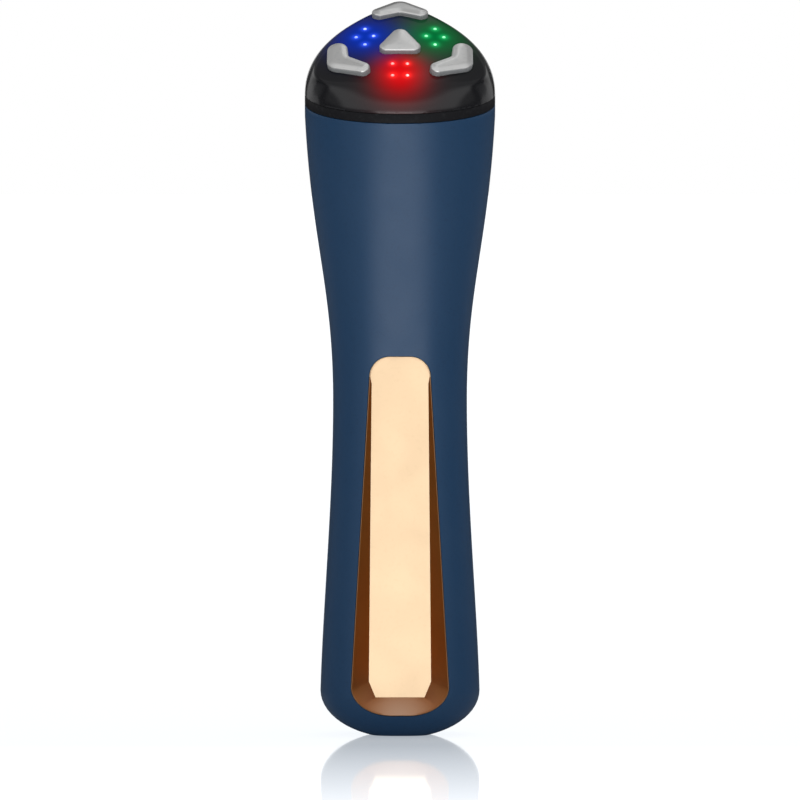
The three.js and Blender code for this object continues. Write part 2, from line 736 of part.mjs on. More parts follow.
for (const { name, x, y, tips } of lights) {
  const halfX = Math.max(...tips.map(([tipX]) => tipX)) + GUIDE_MARGIN;
  const halfY = Math.max(...tips.map(([, tipY]) => tipY)) + GUIDE_MARGIN;
  const plate = block(2 * halfX, 2 * halfY, GUIDE_THICKNESS, x, y, (guideTop + guideBottom) / 2);
  const rods = tips.map(([tipX, tipY]) => {
    const tipTop = -domeDrop(Math.hypot(x + tipX, y + tipY)) + LIGHT_TIP_RISE;
    const tipFoot = (guideTop + guideBottom) / 2;
    return bar(LIGHT_TIP_DIAMETER / 2, tipFoot, tipTop, x + tipX, y + tipY, SMALL_SIDES);
  });
  head.add(mesh(`${name}_light_guide`, combine([plate, ...rods]), finishes.clear));
  const led = block(LED_SIZE, LED_SIZE, LED_THICKNESS, x, y, (ledTop + ledBottom) / 2);
  head.add(mesh(`${name}_led`, led, finishes.clear));
}

const boardOutline = new THREE.Shape(Array.from({ length: BODY_SIDES }, (_, side) => {
  const turn = (side / BODY_SIDES) * 2 * Math.PI;
  const radius = faceEdge(turn) - LED_BOARD_INSET;
  return new THREE.Vector2(radius * Math.cos(turn), radius * Math.sin(turn));
}));
const ledBoard = new THREE.ExtrudeGeometry(boardOutline, {
  depth: LED_BOARD_THICKNESS,
  bevelEnabled: false,
});
head.add(mesh('led_board', ledBoard.translate(0, 0, ledBoardBottom), finishes.board));

// Sprung contacts between the board and the electrodes' stems
for (const { name, reach, angle, heading, stemY } of electrodes) {
  const stemEnd = new THREE.Vector3(0, stemY, -ELECTRODE_SEAT - STEM_LENGTH);
  stemEnd.applyMatrix4(seatFrame(reach, angle, heading));
  const clearance = GAP + (STEM_DIAMETER / 2) * (reach / FACE_DOME_RADIUS);
  const contact = bar(
    CONTACT_DIAMETER / 2,
    ledBoardTop + GAP,
    stemEnd.z - clearance,
    stemEnd.x,
    stemEnd.y,
    SMALL_SIDES,
  );
  head.add(mesh(`${name}_contact`, contact, finishes.gold));
}

// Trim ring with the collar that the shells and the cap slide over
const collarInset = SHELL_WALL + GAP;
const bandBore = loft([
  partingRing(collarInset + COLLAR_WALL / 2, -REACH, INNER_SIDES),
  partingRing(collarInset + COLLAR_WALL / 2, REACH, INNER_SIDES),
]);
const band = combine([loft([partingRing(0, 0), partingRing(0, TRIM_HEIGHT)])], [bandBore]);
const collarBore = loft([
  partingRing(collarInset + COLLAR_WALL, -REACH, INNER_SIDES),
  partingRing(collarInset + COLLAR_WALL, REACH, INNER_SIDES),
]);
const lowerCollar = combine(
  [loft([
    partingRing(collarInset, -COLLAR_REACH, INNER_SIDES),
    partingRing(collarInset, TRIM_HEIGHT, INNER_SIDES),
  ])],
  [collarBore],
);
const upperCollar = combine(
  [common(
    headForm(CAP_WALL + GAP, TRIM_HEIGHT / 2),
    loft([
      partingRing(collarInset, TRIM_HEIGHT / 2, INNER_SIDES),
      partingRing(collarInset, TRIM_HEIGHT + COLLAR_REACH, INNER_SIDES),
    ]),
  )],
  [collarBore],
);
const trim = mesh('head_trim_ring', combine([band, lowerCollar, upperCollar]), finishes.trim);

// Half of a grip outline runs from its top middle down one side; the other half mirrors it.
// The bottom corner is a path of its own: how far inward and how far down at each share of it.
function gripOutline({ top, bottom, topHalf, bottomHalf, widest, topCorner, cornerPath }) {
  const half = [];
  for (let step = 0; step <= CORNER_STEPS; step += 1) {
    const turn = (step / CORNER_STEPS) * (Math.PI / 2);
    half.push([topHalf - topCorner * (1 - Math.sin(turn)), top - topCorner * (1 - Math.cos(turn))]);
  }
  for (let step = 1; step < SIDE_STEPS; step += 1) {
    const share = step / SIDE_STEPS;
    half.push([
      THREE.MathUtils.lerp(topHalf, bottomHalf, share),
      THREE.MathUtils.lerp(top - topCorner, widest, share),
    ]);
  }
  for (let step = 0; step <= CORNER_STEPS; step += 1) {
    const { inward, down } = cornerPath(step / CORNER_STEPS);
    half.push([bottomHalf - inward, widest - (widest - bottom) * down]);
  }
  return [...half, ...half.map(([x, height]) => [-x, height]).reverse()];
}

function rimOutline(grow) {
  return gripOutline({
    top: TRAY_TOP + grow,
    bottom: TRAY_BOTTOM - grow,
    topHalf: TRAY_TOP_HALF_WIDTH + grow,
    bottomHalf: TRAY_BOTTOM_HALF_WIDTH + grow,
    widest: TRAY_WIDEST_HEIGHT,
    topCorner: TRAY_TOP_CORNER + grow,
    cornerPath: (share) => ({
      inward: (TRAY_BOTTOM_CORNER + grow) * (1 - Math.cos((share * Math.PI) / 2)),
      down: Math.sin((share * Math.PI) / 2),
    }),
  });
}

function floorOutline(grow, heel) {
  const middle = TRAY_BOTTOM_HALF_WIDTH - TRAY_BOTTOM_CORNER;
  const bottomHalf = FLOOR_BOTTOM_HALF_WIDTH + grow;
  const edge = bottomHalf - FLOOR_CHAMFER_WIDTH - middle;
  return gripOutline({
    top: TRAY_TOP - TRAY_RIM - GAP + grow,
    bottom: FLOOR_BOTTOM - grow - heel,
    topHalf: FLOOR_TOP_HALF_WIDTH + grow,
    bottomHalf,
    widest: FLOOR_BOTTOM + FLOOR_CHAMFER_HEIGHT,
    topCorner: TRAY_TOP_CORNER - TRAY_RIM + grow,
    cornerPath: (share) => ({
      inward: FLOOR_CHAMFER_WIDTH * Math.min(2 * share, 1) + edge * Math.max(2 * share - 1, 0),
      down: Math.min(2 * share, 1),
    }),
  });
}

// Depth of the tray's flat floor, measured from the wand's axis.
function floorDepth(height) {
  const topDepth = surfaceDepth(0, TRAY_TOP) - FLOOR_TOP_DEPTH;
  const bottomDepth = surfaceDepth(0, TRAY_WIDEST_HEIGHT) - FLOOR_BOTTOM_DEPTH;
  const share = (TRAY_TOP - height) / (TRAY_TOP - TRAY_WIDEST_HEIGHT);
  return THREE.MathUtils.lerp(topDepth, bottomDepth, share);
}

// Trough with straight sloping sides from the floor to a rim on the handle's surface.
function trough(rimGrow, floorGrow, heel = 0) {
  const rim = rimOutline(rimGrow);
  const floor = floorOutline(floorGrow, heel).map(
    ([x, height]) => new THREE.Vector3(x, floorGrow - floorDepth(height), height),
  );
  const open = floor.map((point, index) => {
    const [x, height] = rim[index];
    const edge = new THREE.Vector3(x, -surfaceDepth(x, height), height);
    return edge.sub(point).multiplyScalar(RIM_OVERRUN).add(point);
  });
  const front = open.map((point) => new THREE.Vector3(point.x, -REACH, point.z));
  return loft([front, open, floor]);
}

const outerForm = handleForm(0, OUTER_ROWS, BODY_SIDES);
const innerForm = handleForm(SHELL_WALL);
const bossForm = handleForm(SHELL_WALL / 2);
const fittedForm = handleForm(SHELL_WALL + GAP);

const studHeight = TRAY_TOP - STUD_DROP;
const studBack = -floorDepth(studHeight) + TRAY_SHEET + PAN_WALL + STUD_LENGTH;
const stud = crossBar(STUD_DIAMETER / 2, -floorDepth(studHeight) + TRAY_SHEET / 2, studBack, 0, studHeight);
const tray = combine(
  [common(outerForm, trough(0, TRAY_SHEET)), stud],
  [trough(-TRAY_RIM, 0)],
);

// Frame of the parting line, for the carrier that lies parallel to it
const partingFrame = new THREE.Matrix4().makeRotationX(PARTING_TILT).setPosition(0, 0, PARTING_HEIGHT);
const carrierScrewSection = section(SHOULDER_HEIGHT, SHELL_WALL + LEDGE_WIDTH + CARRIER_SCREW_SETBACK);
const carrierScrewSpot = superellipse(CARRIER_SCREW_ANGLE, carrierScrewSection);
const carrierScrewPlaces = [[-1, -1], [1, -1], [-1, 1], [1, 1]].map(
  ([x, y]) => [x * carrierScrewSpot.x, y * carrierScrewSpot.y],
);
const ledgeTop = -LEDGE_DROP;
const ledgeSlab = combine([above(ledgeTop - LEDGE_THICKNESS)], [above(ledgeTop)]);
const ledge = combine(
  [common(bossForm, ledgeSlab)],
  [handleForm(SHELL_WALL + LEDGE_WIDTH)],
);
const carrierBosses = carrierScrewPlaces.map(
  ([x, y]) => bar(BOSS_DIAMETER / 2, ledgeTop - BOSS_LENGTH, ledgeTop, x, y).applyMatrix4(partingFrame),
);
const screwBore = SCREW_DIAMETER / 2 + GAP;
const carrierBores = carrierScrewPlaces.map(
  ([x, y]) => bar(screwBore, ledgeTop - SCREW_GRIP - SCREW_RUNOUT, REACH, x, y, SMALL_SIDES)
    .applyMatrix4(partingFrame),
);

// Shells: one hollow form with its ledges, cut apart down both sides
const hollowForm = combine([outerForm], [innerForm]);
const pan = common(outerForm, trough(GAP + PAN_WALL, TRAY_SHEET + GAP + PAN_WALL, PAN_HEEL));
const studHole = crossBar(STUD_DIAMETER / 2 + GAP, -REACH, 0, 0, studHeight);
const wholeShell = combine(
  [hollowForm, ledge, ...carrierBosses],
  [...carrierBores, above(-GAP)],
);
const behindSeam = block(2 * REACH, REACH, 8 * REACH, 0, (REACH - GAP) / 2, 0);
const rebate = common(
  handleForm((SHELL_WALL - GAP) / 2),
  block(2 * REACH, REACH, 8 * REACH, 0, REACH / 2 - LAP_LENGTH - GAP, 0),
);
const frontShell = combine(
  [wholeShell, pan],
  [trough(GAP, TRAY_SHEET + GAP), studHole, rebate, behindSeam],
);

const boardBack = BOARD_FACE + BOARD_THICKNESS;
const boardScrewPlaces = [[-1, BOARD_BOTTOM + BOSS_INSET], [1, BOARD_BOTTOM + BOSS_INSET],
  [-1, BOARD_TOP - BOSS_INSET], [1, BOARD_TOP - BOSS_INSET]].map(
  ([side, height]) => [side * (BOARD_WIDTH / 2 - BOSS_INSET), height],
);
const boardBosses = boardScrewPlaces.map(
  ([x, height]) => common(bossForm, crossBar(BOSS_DIAMETER / 2, boardBack + GAP, REACH, x, height)),
);
const boardBores = boardScrewPlaces.map(
  ([x, height]) => crossBar(screwBore, 0, BOARD_FACE + SCREW_GRIP + SCREW_RUNOUT, x, height, SMALL_SIDES),
);

const cradleRadius = CELL_DIAMETER / 2 + GAP + CRADLE_WALL;
const ribHeights = [CELL_BOTTOM + RIB_INSET, CELL_BOTTOM + CELL_LENGTH - RIB_INSET];
const cradleClearance = bar(cradleRadius + GAP, 0, PARTING_HEIGHT, 0, CELL_SETBACK, CELL_SIDES);
const ribMiddle = CELL_SETBACK + RIB_SETBACK + REACH / 2;
const ribs = ribHeights.map((height) => combine(
  [common(bossForm, block(2 * REACH, REACH, RIB_THICKNESS, 0, ribMiddle, height))],
  [cradleClearance],
));

const portBack = surfaceDepth(0, PORT_HEIGHT) - PORT_SETBACK;
const portBoardTop = PORT_HEIGHT - PORT_THICKNESS / 2 - GAP;
const portBoardBack = surfaceDepth(
  PORT_BOARD_WIDTH / 2,
  portBoardTop - PORT_BOARD_THICKNESS,
  SHELL_WALL + GAP,
);
const portBoardMiddle = portBoardBack - PORT_BOARD_DEPTH / 2;
const portPosts = [-1, 1].map((side) => common(bossForm, bar(
  PORT_POST_DIAMETER / 2,
  0,
  portBoardTop - PORT_BOARD_THICKNESS - GAP,
  side * (PORT_BOARD_WIDTH / 2 - PORT_POST_DIAMETER / 2),
  portBoardMiddle,
)));

// Slot-shaped bar along Y with round ends.
function slotBar(width, thickness, front, back, height) {
  const shape = new THREE.Shape();
  const radius = thickness / 2;
  shape.absarc(width / 2 - radius, 0, radius, -Math.PI / 2, Math.PI / 2);
  shape.absarc(radius - width / 2, 0, radius, Math.PI / 2, (3 * Math.PI) / 2);
  const geometry = new THREE.ExtrudeGeometry(shape, {
    depth: back - front,
    bevelEnabled: false,
    curveSegments: SMALL_SIDES,
  });
  return geometry.rotateX(Math.PI / 2).translate(0, back, height);
}

const buttons = [
  { name: 'power', height: POWER_HEIGHT, radius: POWER_DIAMETER / 2 },
  { name: 'mode', height: MODE_HEIGHT, radius: MODE_DIAMETER / 2 },
].map((entry) => {
  const flange = entry.radius + BUTTON_FLANGE;
  const lowest = entry.height - flange;
  return {
    ...entry,
    flange,
    back: surfaceDepth(flange, lowest, SHELL_WALL + GAP) - FLANGE_THICKNESS,
  };
});
const buttonHoles = buttons.map(
  ({ height, radius }) => crossBar(radius + SLIDE_GAP, boardBack, REACH, 0, height, BUTTON_SIDES),
);
const windowFront = boardBack + GAP;
const windowHole = block(
  WINDOW_WIDTH + 2 * GAP,
  REACH,
  WINDOW_LENGTH + 2 * GAP,
  0,
  windowFront + REACH / 2,
  WINDOW_HEIGHT,
);
const portHole = slotBar(
  PORT_WIDTH + 2 * PORT_CLEARANCE,
  PORT_THICKNESS + 2 * PORT_CLEARANCE,
  portBack - PORT_DEPTH / 2,
  REACH,
  PORT_HEIGHT,
);
const beforeSeam = block(2 * REACH, REACH, 8 * REACH, 0, (GAP - REACH) / 2, 0);
const rearHalf = combine([wholeShell], [beforeSeam]);
const lapLayer = combine([handleForm((SHELL_WALL + GAP) / 2)], [innerForm, above(-GAP)]);
const lapLip = common(
  lapLayer,
  block(2 * REACH, LAP_LENGTH + GAP + LAP_ROOT, 8 * REACH, 0, (LAP_ROOT + GAP - LAP_LENGTH) / 2, 0),
);
const rearShell = combine(
  [rearHalf, lapLip, ...boardBosses, ...ribs, ...portPosts],
  [...boardBores, ...buttonHoles, windowHole, portHole],
);

// Carrier plate with posts under the light board
const carrierSlab = combine([above(ledgeTop + GAP)], [above(ledgeTop + GAP + CARRIER_THICKNESS)]);
const carrierTop = ledgeTop + GAP + CARRIER_THICKNESS;
const underBoard = block(2 * REACH, 2 * REACH, REACH, 0, 0, ledBoardBottom - GAP + REACH / 2);
underBoard.applyMatrix4(faceFrame);
const posts = POST_ANGLES.map((turn) => {
  const top = new THREE.Vector3(POST_REACH * Math.cos(turn), POST_REACH * Math.sin(turn), ledBoardBottom);
  const { x, y } = top.applyMatrix4(faceFrame);
  const foot = partingHeight(y, carrierTop - CARRIER_THICKNESS / 2);
  return combine([bar(POST_DIAMETER / 2, foot, FACE_HEIGHT, x, y)], [underBoard]);
});
const carrier = combine(
  [common(fittedForm, carrierSlab), ...posts],
  [
    ...carrierBores,
    block(CABLE_SLOT_WIDTH, CABLE_SLOT_DEPTH, REACH, 0, 0, PARTING_HEIGHT),
  ],
);

// Pan-head screw along its own -Z, the underside of its head at z = 0.
function screw(grip) {
  return combine([
    bar(SCREW_HEAD_DIAMETER / 2, 0, SCREW_HEAD_THICKNESS),
    bar(SCREW_DIAMETER / 2, -grip, SCREW_HEAD_THICKNESS / 2, 0, 0, SMALL_SIDES),
  ]);
}

const wand = new THREE.Group();
wand.add(mesh('front_shell', frontShell, finishes.navy));
wand.add(mesh('rear_shell', rearShell, finishes.navy));
wand.add(trim, cap, head);
wand.add(mesh('grip_electrode', tray, finishes.gold));
wand.add(mesh('head_carrier', carrier, finishes.carrier));

carrierScrewPlaces.forEach(([x, y], index) => {
  const geometry = screw(SCREW_GRIP + CARRIER_THICKNESS);
  geometry.translate(x, y, carrierTop + GAP).applyMatrix4(partingFrame);
  wand.add(mesh(`carrier_screw_${index + 1}`, geometry, finishes.steel));
});

// Main board, drilled for its screws
const boardPlate = block(
  BOARD_WIDTH,
  BOARD_THICKNESS,
  BOARD_TOP - BOARD_BOTTOM,
  0,
  BOARD_FACE + BOARD_THICKNESS / 2,
  (BOARD_TOP + BOARD_BOTTOM) / 2,
);
const boardHoles = boardScrewPlaces.map(
  ([x, height]) => crossBar(screwBore, 0, REACH, x, height, SMALL_SIDES),
);
wand.add(mesh('main_board', combine([boardPlate], boardHoles), finishes.board));
boardScrewPlaces.forEach(([x, height], index) => {
  const geometry = screw(SCREW_GRIP).rotateX(Math.PI / 2);
  geometry.translate(x, BOARD_FACE - GAP, height);
  wand.add(mesh(`board_screw_${index + 1}`, geometry, finishes.steel));
});

// Buttons, their plungers and the switches behind them
const switchFront = boardBack + GAP;
const switchBack = switchFront + SWITCH_THICKNESS;
for (const { name, height, radius, flange, back } of buttons) {
  const cap = common(
    handleForm(-BUTTON_PROUD, OUTER_ROWS, BODY_SIDES),
    crossBar(radius, back, REACH, 0, height, BUTTON_SIDES),
  );
  const flangeDisc = common(fittedForm, crossBar(flange, back, REACH, 0, height, BUTTON_SIDES));
  const face = surfaceDepth(0, height) + BUTTON_PROUD;
  const dish = new THREE.SphereGeometry(BUTTON_DISH_RADIUS, BUTTON_SIDES, INNER_SIDES);
  dish.translate(0, face + BUTTON_DISH_RADIUS - BUTTON_DISH_DEPTH, height);
  wand.add(mesh(`${name}_button`, combine([cap, flangeDisc], [dish]), finishes.navy));
  const plungerFront = switchFront + SWITCH_FLOOR + GAP + BUTTON_TRAVEL;
  const plunger = crossBar(PLUNGER_DIAMETER / 2, plungerFront, back - GAP, 0, height);
  wand.add(mesh(`${name}_plunger`, plunger, finishes.dark));
  const body = block(SWITCH_SIZE, SWITCH_THICKNESS, SWITCH_SIZE, 0, (switchFront + switchBack) / 2, height);
  const bore = crossBar(PLUNGER_DIAMETER / 2 + SLIDE_GAP, switchFront + SWITCH_FLOOR, REACH, 0, height);
  wand.add(mesh(`${name}_switch`, combine([body], [bore]), finishes.dark));
}

const windowBar = common(outerForm, block(
  WINDOW_WIDTH,
  REACH,
  WINDOW_LENGTH,
  0,
  windowFront + REACH / 2,
  WINDOW_HEIGHT,
));
wand.add(mesh('level_window', windowBar, finishes.clear));

// Parts on the front of the main board
const partBack = BOARD_FACE - GAP;
const coil = new THREE.LatheGeometry(
  arc(COIL_RADIUS, 0, COIL_SECTION / 2, 0, 2 * Math.PI, SMALL_SIDES).slice(0, -1).concat(
    [new THREE.Vector2(COIL_RADIUS + COIL_SECTION / 2, 0)],
  ),
  COIL_SIDES,
);
coil.translate(0, partBack - COIL_SECTION / 2, COIL_HEIGHT);
wand.add(mesh('rf_transformer', coil, finishes.ferrite));
const can = new THREE.LatheGeometry([
  new THREE.Vector2(0, 0),
  new THREE.Vector2(CAN_DIAMETER / 2 - CAN_EDGE, 0),
  new THREE.Vector2(CAN_DIAMETER / 2, CAN_EDGE),
  new THREE.Vector2(CAN_DIAMETER / 2, CAN_LENGTH - CAN_EDGE),
  new THREE.Vector2(CAN_DIAMETER / 2 - CAN_EDGE, CAN_LENGTH),
  new THREE.Vector2(0, CAN_LENGTH),
], BORE_SIDES);
can.translate(PARTS_X, partBack - CAN_LENGTH, PARTS_HEIGHT);
wand.add(mesh('storage_capacitor', can, finishes.dark));
const inductor = crossBar(
  INDUCTOR_SIZE / 2,
  partBack - INDUCTOR_THICKNESS,
  partBack,
  -PARTS_X,
  PARTS_HEIGHT,
  SMALL_SIDES,
);
wand.add(mesh('boost_inductor', inductor, finishes.ferrite));
const chip = block(CHIP_SIZE, CHIP_THICKNESS, CHIP_SIZE, 0, partBack - CHIP_THICKNESS / 2, CHIP_HEIGHT);
wand.add(mesh('controller_chip', chip, finishes.dark));

// Cell, its protection board and its cradle
const cellRadius = CELL_DIAMETER / 2;
const cell = new THREE.LatheGeometry([
  new THREE.Vector2(0, 0),
  new THREE.Vector2(cellRadius - CELL_EDGE, 0),
  new THREE.Vector2(cellRadius, CELL_EDGE),
  new THREE.Vector2(cellRadius, CELL_LENGTH - CELL_EDGE),
  new THREE.Vector2(cellRadius - CELL_EDGE, CELL_LENGTH),
  new THREE.Vector2(0, CELL_LENGTH),
], CELL_SIDES);
cell.rotateX(Math.PI / 2).translate(0, CELL_SETBACK, CELL_BOTTOM);
wand.add(mesh('battery_cell', cell, finishes.cell));
const cellTop = CELL_BOTTOM + CELL_LENGTH;
const guardTop = cellTop + GAP + GUARD_THICKNESS;
const guard = bar(cellRadius - CELL_EDGE, cellTop + GAP, guardTop, 0, CELL_SETBACK, CELL_SIDES);
wand.add(mesh('cell_protection_board', guard, finishes.board));
const cradleBottom = CELL_BOTTOM - GAP - CRADLE_WALL;
const cradle = combine(
  [bar(cradleRadius, cradleBottom, cellTop, 0, CELL_SETBACK, CELL_SIDES)],
  [
    bar(cellRadius + GAP, CELL_BOTTOM - GAP, REACH * 2, 0, CELL_SETBACK, CELL_SIDES),
    block(REACH, REACH, REACH * 2, 0, CELL_SETBACK - REACH / 2 - CRADLE_WRAP, CELL_BOTTOM - GAP + REACH),
  ],
);
wand.add(mesh('battery_cradle', cradle, finishes.carrier));

// Round wire or flat ribbon swept along a route.
function sweep(section, points, steps) {
  const extrudePath = new THREE.CatmullRomCurve3(points.map((point) => new THREE.Vector3(...point)));
  return new THREE.ExtrudeGeometry(section, { steps, extrudePath, bevelEnabled: false });
}

const wireSection = new THREE.Shape(arc(0, 0, WIRE_DIAMETER / 2, 0, 2 * Math.PI, WIRE_SIDES).slice(0, -1));
const wireEnd = partBack - WIRE_DIAMETER / 2;
for (const [name, side, finish] of [['red', 1, finishes.wireRed], ['black', -1, finishes.wireBlack]]) {
  const x = side * WIRE_SPREAD;
  const route = [
    [x, CELL_SETBACK - WIRE_SETBACK, guardTop + GAP],
    [x, CELL_SETBACK - WIRE_SETBACK, guardTop + WIRE_BEND],
    [x, wireEnd - WIRE_SETBACK, BOARD_BOTTOM + WIRE_BEND],
    [x, wireEnd, BOARD_BOTTOM + WIRE_LAP],
  ];
  wand.add(mesh(`battery_lead_${name}`, sweep(wireSection, route, WIRE_STEPS), finish));
}

const ribbonSection = new THREE.Shape([
  new THREE.Vector2(-RIBBON_WIDTH / 2, -RIBBON_THICKNESS / 2),
  new THREE.Vector2(RIBBON_WIDTH / 2, -RIBBON_THICKNESS / 2),
  new THREE.Vector2(RIBBON_WIDTH / 2, RIBBON_THICKNESS / 2),
  new THREE.Vector2(-RIBBON_WIDTH / 2, RIBBON_THICKNESS / 2),
]);
const ribbonStart = new THREE.Vector3(0, 0, ledBoardBottom - GAP).applyMatrix4(faceFrame);
const ribbonEnd = partBack - RIBBON_THICKNESS;
const ribbonRoute = [
  ribbonStart.toArray(),
  new THREE.Vector3(0, 0, ledBoardBottom - RIBBON_DROP).applyMatrix4(faceFrame).toArray(),
  [0, 0, PARTING_HEIGHT + ledgeTop + RIBBON_SLACK],
  [0, RIBBON_SETBACK, BOARD_TOP],
  [0, ribbonEnd - RIBBON_THICKNESS, BOARD_TOP - RIBBON_LAP / 2],
  [0, ribbonEnd, BOARD_TOP - RIBBON_LAP],
];
wand.add(mesh('light_ribbon', sweep(ribbonSection, ribbonRoute, RIBBON_STEPS), finishes.wireBlack));

// Spring leaf from the main board to the grip electrode's stud
const springTop = studHeight;
const springShape = new THREE.Shape();
const springFoot = partBack;
const springTip = studBack + GAP;
springShape.moveTo(springFoot, springTop + SPRING_FOOT);
springShape.lineTo(springFoot, springTop);
springShape.quadraticCurveTo(
  springFoot - SPRING_BEND,
  springTop - 4 * SPRING_BEND,
  springTip + 2 * SPRING_BEND,
  springTop - 2 * SPRING_BEND,
);
springShape.quadraticCurveTo(springTip, springTop - SPRING_BEND, springTip, springTop + SPRING_BEND);
springShape.lineTo(springTip + SPRING_SHEET, springTop + SPRING_BEND);
springShape.quadraticCurveTo(
  springTip + SPRING_SHEET,
  springTop - SPRING_BEND + SPRING_SHEET,
  springTip + 2 * SPRING_BEND,
  springTop - 2 * SPRING_BEND + SPRING_SHEET,
);
springShape.quadraticCurveTo(
  springFoot - SPRING_BEND - SPRING_SHEET,
  springTop - 4 * SPRING_BEND + SPRING_SHEET,
  springFoot - SPRING_SHEET,
  springTop + SPRING_SHEET,
);
springShape.lineTo(springFoot - SPRING_SHEET, springTop + SPRING_FOOT);
const spring = new THREE.ExtrudeGeometry(springShape, {
  depth: SPRING_WIDTH,
  bevelEnabled: false,
  curveSegments: WIRE_SIDES,
});
spring.translate(0, 0, -SPRING_WIDTH / 2);
spring.applyMatrix4(new THREE.Matrix4().makeBasis(
  new THREE.Vector3(0, 1, 0),
  new THREE.Vector3(0, 0, 1),
  new THREE.Vector3(1, 0, 0),
));
wand.add(mesh('grip_contact_spring', spring, finishes.gold));

// Charging port and its board
const portFront = portBack - PORT_DEPTH;
const port = combine(
  [
    combine(
      [slotBar(PORT_WIDTH, PORT_THICKNESS, portFront, portBack, PORT_HEIGHT)],
      [slotBar(
        PORT_WIDTH - 2 * PORT_SHEET,
        PORT_THICKNESS - 2 * PORT_SHEET,
        portFront + PORT_FLOOR,
        REACH,
        PORT_HEIGHT,
      )],
    ),
    block(
      TONGUE_WIDTH,
      TONGUE_LENGTH + PORT_FLOOR / 2,
      TONGUE_THICKNESS,
      0,
      portFront + PORT_FLOOR / 2 + (TONGUE_LENGTH + PORT_FLOOR / 2) / 2,
      PORT_HEIGHT,
    ),
  ],
);
wand.add(mesh('charging_port', port, finishes.steel));
const portBoard = block(
  PORT_BOARD_WIDTH,
  PORT_BOARD_DEPTH,
  PORT_BOARD_THICKNESS,
  0,
  portBoardMiddle,
  portBoardTop - PORT_BOARD_THICKNESS / 2,
);
wand.add(mesh('port_board', portBoard, finishes.board));

export default wand;
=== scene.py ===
"""Looks of a radio-frequency facial wand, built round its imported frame.

Everything is in metres and in the frame's own axes: +Z runs up the wand, and the
treatment face and the sunk grip electrode look toward -Y.
"""

import logging
import math
from collections.abc import Callable, Iterable, Sequence
from dataclasses import dataclass, field
from enum import Enum

import bpy
from mathutils import Matrix, Vector
from mathutils.bvhtree import BVHTree


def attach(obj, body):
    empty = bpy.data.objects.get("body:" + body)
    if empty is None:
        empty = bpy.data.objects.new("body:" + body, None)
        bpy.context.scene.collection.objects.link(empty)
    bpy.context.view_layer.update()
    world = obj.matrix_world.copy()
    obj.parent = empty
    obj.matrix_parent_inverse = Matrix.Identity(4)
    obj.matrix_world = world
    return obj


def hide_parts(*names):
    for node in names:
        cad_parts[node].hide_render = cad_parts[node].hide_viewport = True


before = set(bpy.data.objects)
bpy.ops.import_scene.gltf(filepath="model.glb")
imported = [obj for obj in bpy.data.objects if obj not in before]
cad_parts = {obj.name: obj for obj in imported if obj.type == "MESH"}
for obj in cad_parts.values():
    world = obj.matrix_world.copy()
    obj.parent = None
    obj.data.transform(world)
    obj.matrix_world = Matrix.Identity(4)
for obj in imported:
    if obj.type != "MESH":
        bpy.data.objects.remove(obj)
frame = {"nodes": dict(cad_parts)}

log = logging.getLogger("facial_wand")

REACH = 0.06  # how far a cutting form runs past the wand
SKIM = 0.001  # how far it stands over the surface before it runs straight
TURN = 2 * math.pi
QUARTER = math.pi / 2

Point = tuple[float, float]
Ring = list[Vector]
Outline = Callable[[float], list[Point]]
Colour = tuple[float, float, float, float]
Piece = bpy.types.Object
Material = bpy.types.Material
Node = bpy.types.Node
Socket = bpy.types.NodeSocket


class Body(Enum):
    """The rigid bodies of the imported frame."""

    HOUSING = "housing"
    POWER = "power_key"
    MODE = "mode_key"


def lerp(low: float, high: float, share: float) -> float:
    """Value that lies at one share of the way from low to high."""
    return low + (high - low) * share


def arc(centre: Point, radius: float, start: float, end: float, steps: int) -> list[Point]:
    """Points along an arc, both ends included.

    Args:
        centre: Middle of the circle.
        radius: Its radius.
        start: Angle of the first point, in radians.
        end: Angle of the last point.
        steps: Number of chords.

    Returns:
        The points in order.
    """
    turns = (lerp(start, end, step / steps) for step in range(steps + 1))
    return [(centre[0] + radius * math.cos(t), centre[1] + radius * math.sin(t)) for t in turns]


def rounding(size: float, steps: int) -> list[Point]:
    """Course of a rounded edge from its side to its top.

    Args:
        size: Radius of the edge.
        steps: Number of chords.

    Returns:
        How far it is pulled in, and how far it lies under the top, at each step.
    """
    turns = (QUARTER * step / steps for step in range(steps + 1))
    return [(size * (1 - math.cos(turn)), size * (1 - math.sin(turn))) for turn in turns]


def flat_ring(points: Iterable[Point], height: float) -> Ring:
    """Ring of points given as x and y, all at one height."""
    return [Vector((x, y, height)) for x, y in points]


def upright_ring(points: Iterable[Point], depth: float) -> Ring:
    """Ring of points given as x and height, all at one depth."""
    return [Vector((x, depth, height)) for x, height in points]


def at_depth(ring: Ring, depth: float) -> Ring:
    """Ring moved along y to one depth."""
    return [Vector((point.x, depth, point.z)) for point in ring]


def between(first: Ring, second: Ring, share: float) -> Ring:
    """Ring at one share of the way from the first to the second."""
    return [a.lerp(b, share) for a, b in zip(first, second)]


def new_piece(name: str, points: Sequence[Vector], faces: Sequence[Sequence[int]]) -> Piece:
    """Object with a mesh of the given points and faces, linked to the scene.

    Args:
        name: Name of the piece.
        points: Places of its vertices.
        faces: Vertex indices of each face.

    Returns:
        The new object, shaded smooth except across sharp edges.
    """
    mesh = bpy.data.meshes.new(name)
    mesh.from_pydata([tuple(p) for p in points], [], [list(f) for f in faces])
    mesh.update()
    piece = bpy.data.objects.new(name, mesh)
    bpy.context.scene.collection.objects.link(piece)
    smooth(piece)
    turn_out(piece)
    return piece


